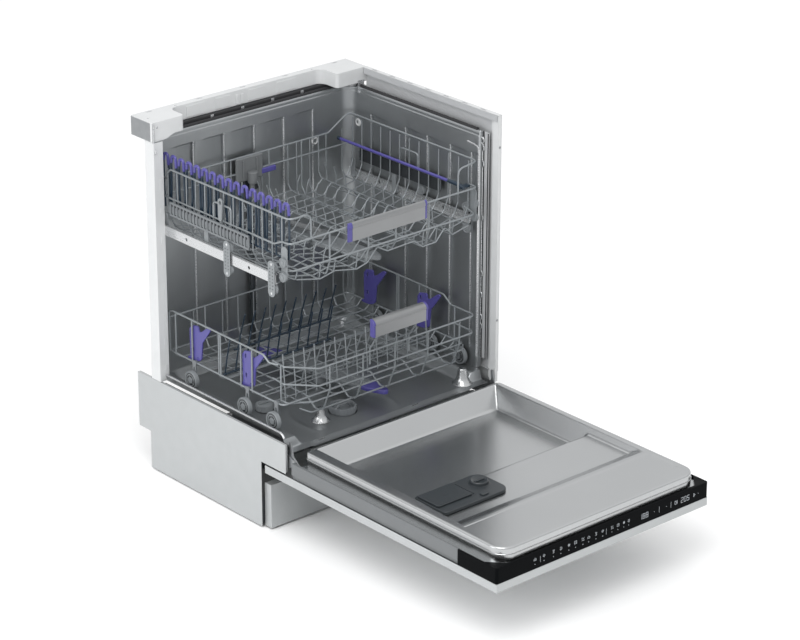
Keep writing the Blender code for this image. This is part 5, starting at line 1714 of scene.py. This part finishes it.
def lower_frame_runs():
    half, back = LOWER_HALF, LOWER_BACK
    runs = []
    left = [(-half, back, LOWER_MID), (-half, back, SIDE_RIM - 0.003), (-half, back - 0.014, SIDE_RIM + 0.001)]
    left += [(-half, 0.124, SIDE_RIM), (-half + 0.001, 0.106, FRONT_RIM + 0.004), (-0.244, 0.088, FRONT_RIM + 0.002)]
    runs.append((left, THICK_WIRE, 0.01))
    rim = front_corner(FRONT_RIM) + [(half, 0.03, FRONT_RIM), (half, 0.1, FRONT_RIM), (half, 0.124, SIDE_RIM)]
    rim += [(half, back - 0.014, SIDE_RIM + 0.001), (half, back, SIDE_RIM - 0.003), (half, back, LOWER_MID)]
    runs.append((rim, THICK_WIRE, 0.01))
    second = [(half - 0.001, 0.032, 0.319), (half - 0.001, 0.086, 0.319)]
    runs.append((front_corner(0.319, 0.001) + second, THICK_WIRE, 0.01))
    third = [(-0.24, 0.086, 0.279), (-0.233, 0.07, 0.275), (-0.186, 0.042, 0.275), (0.238, 0.042, 0.275)]
    runs.append((third + [(half - 0.002, 0.058, 0.277)], CAD_WIRE, 0.01))
    lowest = [(-0.196, 0.078, 0.25), (-0.18, 0.058, 0.243), (0.232, 0.058, 0.243), (0.246, 0.078, 0.25)]
    runs.append((lowest, CAD_WIRE, 0.01))
    runs.append(([(-half, back, REAR_RIM - 0.012), (half, back, REAR_RIM - 0.012)], THICK_WIRE, 0.002))
    belt = [(0.0, back, LOWER_MID), (-half, back, LOWER_MID), (-half, 0.0595, LOWER_MID)]
    belt += mirrored(belt)
    runs.append((belt, THICK_WIRE, 0.01))
    return runs


def lower_rack_wires():
    """The lower rack: rims, belt, floor grid, front bows, hoops and fixed plate tines."""
    half, back = LOWER_HALF - 0.0014, LOWER_BACK - 0.0014
    runs = lower_frame_runs()
    for y in SIDE_HOOPS:
        top = SIDE_RIM if y > 0.12 else FRONT_RIM
        side = [(-half, y, top), (-half, y, LOWER_KNEE), (-0.2385, y, LOWER_FLOOR)]
        if y < 0.12:
            side = [(-0.239, y, top), (-0.239, y, LOWER_KNEE), (-0.23, y, LOWER_FLOOR)]
        far = [(half, y, top), (half, y, LOWER_KNEE), (0.2385, y, LOWER_FLOOR)]
        runs.append((side + list(reversed(far)), CAD_WIRE, 0.005))
    for y in (0.115, 0.15, 0.2375, 0.31, 0.34, 0.401):
        cross = [(-half, y, LOWER_MID), (-0.24, y, LOWER_FLOOR)]
        runs.append((cross + mirrored(cross), THIN_WIRE, 0.008))
    under = LOWER_FLOOR - 0.0032
    bow = [(LOWER_FRONT + 0.002, FRONT_RIM), (LOWER_FRONT + 0.003, 0.3), (0.046, 0.247), (0.07, 0.241)]
    bow += [(0.1, under), (back - 0.012, under), (back, 0.284), (back, REAR_RIM - 0.012)]
    for x in (-0.158, -0.066, 0.024, 0.118, 0.21):
        runs.append(([(x, y, z) for y, z in bow], CAD_WIRE, 0.012))
    for x in (-0.19, -0.11, -0.022, 0.07, 0.164, 0.24):
        thin = [(x, LOWER_FRONT + 0.019, LOWER_MID - 0.004), (x, 0.07, LOWER_FLOOR - 0.003)]
        thin += [(x, back - 0.012, LOWER_FLOOR - 0.003), (x, back, 0.284), (x, back, REAR_RIM - 0.012)]
        runs.append((thin, THIN_WIRE, 0.012))
    for foot, lean, start, count, top in ((0.15, 0.024, -0.13, 11, 0.345), (0.1, -0.013, -0.216, 15, 0.368)):
        for number in range(count):
            x = start + number * TINE_PITCH
            knee = (x + 0.001, foot - 0.17 * lean, LOWER_FLOOR + 0.024)
            runs.append(([(x, foot, LOWER_FLOOR), knee, (x + 0.004, foot - lean, top)], THIN_WIRE, 0.02))
    for x in (-0.048, 0.062):
        y, front = depth_box("lower_handle")[1].y + CAD_WIRE + 0.0006, LOWER_FRONT + 0.0014
        path = [(x, front, FRONT_RIM - 0.03), (x, front, FRONT_RIM + 0.006), (x, y, 0.398), (x, y, 0.44)]
        runs.append((path, CAD_WIRE, 0.012))
    for side in SIDES.values():
        for y in wheel_depths():
            leg = side * half
            runs.append(([(leg, y, LOWER_MID), (leg, y, WHEEL_Z), (side * 0.271, y, WHEEL_Z)], CAD_WIRE, 0.004))
    wires("lower_wire_rack", "lower_rack", runs, "lower_basket")


def wheels():
    """Rollers with stepped hub rings on both faces."""
    half = 0.0059
    face = [(0.0024, 0.9), (0.0058, 1.0), (0.007, 1.0), (0.0077, 0.62), (0.0112, 0.58), (0.012, 0.86)]
    face += [(0.0136, 0.86), (0.0143, 0.6), (0.016, 0.62), (0.0186, 1.0), (0.02, 0.78)]
    profile = [(r, h * half) for r, h in face] + [(r, -h * half) for r, h in reversed(face)]
    for word in SIDES:
        for number in (1, 2, 3):
            low, high = depth_box(f"wheel_{word}_{number}")
            bm = bmesh.new()
            middle = (low + high) / 2
            lathe(bm, profile, middle, "X", 40)
            for start, end in zip(circle(0.007, 5), circle(0.0118, 5)):
                for x in (high.x - 0.0016, low.x + 0.0016):
                    sweep(bm, [(x, middle.y + y, middle.z + z) for y, z in (start, end)], 0.0008, sides=6)
            node = f"wheel_{word}_{number}"
            piece(f"rack_wheel_{word}_{number}", bm, "pale_plastic", node, node)
            ring = bmesh.new()
            for x in (low.x + 0.0012, high.x - 0.002):
                for inner_r, outer_r in ((0.0074, 0.0112), (0.0138, 0.0158)):
                    band = [(inner_r, 0.0), (outer_r, 0.0), (outer_r, 0.0008), (inner_r, 0.0008)]
                    lathe(ring, band, (x, middle.y, middle.z), "X", 32)
            piece(f"wheel_rings_{word}_{number}", ring, "dark_plastic", node)


def wheel_carriers():
    """Clips that hold the wheel axles to the rack's belt wire."""
    bm = bmesh.new()
    for side in SIDES.values():
        for y in wheel_depths():
            span = sorted((side * 0.2562, side * 0.2587))
            x0, x1 = sorted((side * 0.25, side * 0.258))
            outline = arc((y, WHEEL_Z), 0.0078, 180, 360, 8) + [(y + 0.0052, 0.276), (y + 0.0075, 0.2795)]
            outline += [(y + 0.006, 0.285), (y - 0.006, 0.285), (y - 0.0075, 0.2795), (y - 0.0052, 0.276)]
            hole = rounded((y - 0.002, 0.2535), (y + 0.002, 0.27), (0.0018,) * 4, 3)
            flat(bm, outline, *span, "X", 0.0007, [hole])
            slab(bm, (x0, y - 0.005, 0.2772), (x1, y + 0.005, 0.2838), 0.0016)
    piece("wheel_carriers", bm, "grey_plastic", "lower_rack")


def holder_outline(y):
    """A forked tray holder that leans to the front, as (y, z) about its own depth."""
    shape = [
        (0.014, 0.286), (0.022, 0.284), (0.024, 0.28), (0.018, 0.278), (0.006, 0.278), (-0.004, 0.279),
        (-0.018, 0.284), (-0.0245, 0.289), (-0.029, 0.33), (-0.056, 0.364), (-0.061, 0.373),
        (-0.056, 0.3755), (-0.048, 0.372), (-0.026, 0.355), (-0.018, 0.353), (-0.0165, 0.366),
        (0.008, 0.361), (0.015, 0.351), (0.015, 0.338), (0.014, 0.29),
    ]
    return [(p.x, p.y) for p in fillet([(y + dy, z, 0.0) for dy, z in shape], 0.006, True)]


def tray_holders():
    for word in SIDES:
        for number in (1, 2):
            node = f"tray_holder_{word}_{number}"
            low, high = depth_box(node)
            y = (0.187, 0.37)[number - 1]
            slots = [arc((y + dy, z), 0.0024, 0, 180, 5) + arc((y + dy, z - 0.006), 0.0024, 180, 360, 5)
                     for dy, z in ((0.0035, 0.353), (0.002, 0.309))]
            slots.append(arc((y - 0.0125, 0.2905), 0.0014, 0, 300, 5))
            bm = bmesh.new()
            flat(bm, holder_outline(y), low.x - 0.0001, high.x + 0.0001, "X", 0.001, slots, segments=3)
            for x in (low.x, high.x):
                rib = [(x, y + 0.0105, 0.29), (x, y + 0.0115, 0.348)]
                sweep(bm, rib, 0.0009, sides=6)
            piece(f"tray_fork_{word}_{number}", bm, "violet", node, node)


def tine_rows():
    """The folding tine rows: coated tines with rounded tips and collars on an axle."""
    axle = 0.0024
    tip = [(0.0, 0.0018), (0.0013, 0.0012), (0.0019, 0.0), (0.0, -0.001)]
    collar = [(axle, 0.0042), (0.0031, 0.003), (0.0031, -0.003), (axle, -0.0042)]
    for word in ("rear", "front"):
        node = f"tine_row_{word}"
        low, high = depth_box(node)
        y, z = high.y - axle, low.z + axle
        tip_y, tip_z = low.y + 0.0019, high.z - 0.001
        bm = bmesh.new()
        sweep(bm, [(low.x, y, z), (high.x, y, z)], axle)
        for number in range(round((high.x - low.x - 0.02) / TINE_PITCH) + 1):
            x = low.x + 0.01 + number * TINE_PITCH
            sweep(bm, [(x, y, z), (x, (y + tip_y) / 2 + 0.001, (z + tip_z) / 2), (x, tip_y, tip_z)], 0.0017, 0.03)
            lathe(bm, tip, (x, tip_y, tip_z), "Z", 10)
            lathe(bm, collar, (x, y, z), "X", 10)
        piece(f"folding_tines_{word}", bm, "navy", f"folding_tines_{word}", node, even=False)


def lower_rack():
    lower_rack_wires()
    grip("lower_grip", "lower_handle", "lower_rack", 0.0115, 0.002)
    wheels()
    wheel_carriers()
    tray_holders()
    tine_rows()


# Rear and inner base


def rear_mat():
    """The damping mat on the outside of the tub's rear wall."""
    outline = rounded((-0.25, 0.262), (0.25, 0.735), (0.012,) * 4, 5)
    bm = bmesh.new()
    flat(bm, outline, TUB_BACK + 0.0046, TUB_BACK + 0.0066, "Y", 0.0008)
    piece("rear_damping_mat", bm, "rubber", "cabinet")


def dress_cad_nodes():
    """Gives every CAD node the finish of its material slot; the shown ones are those nothing replaces."""
    for part in frame["record"]["subparts"]:
        slot = part["material_slot"]
        look = next(material for material, name in LOOKS.values() if name == slot)
        node = frame["nodes"][part["node"]]
        node.data.materials.clear()
        node.data.materials.append(look)


make_studio()
make_floor()
make_camera()
dress_cad_nodes()
tub()
outer_frame()
door()
rails()
roller_brackets()
upper_rack()
rotors()
lower_rack()
rear_mat()
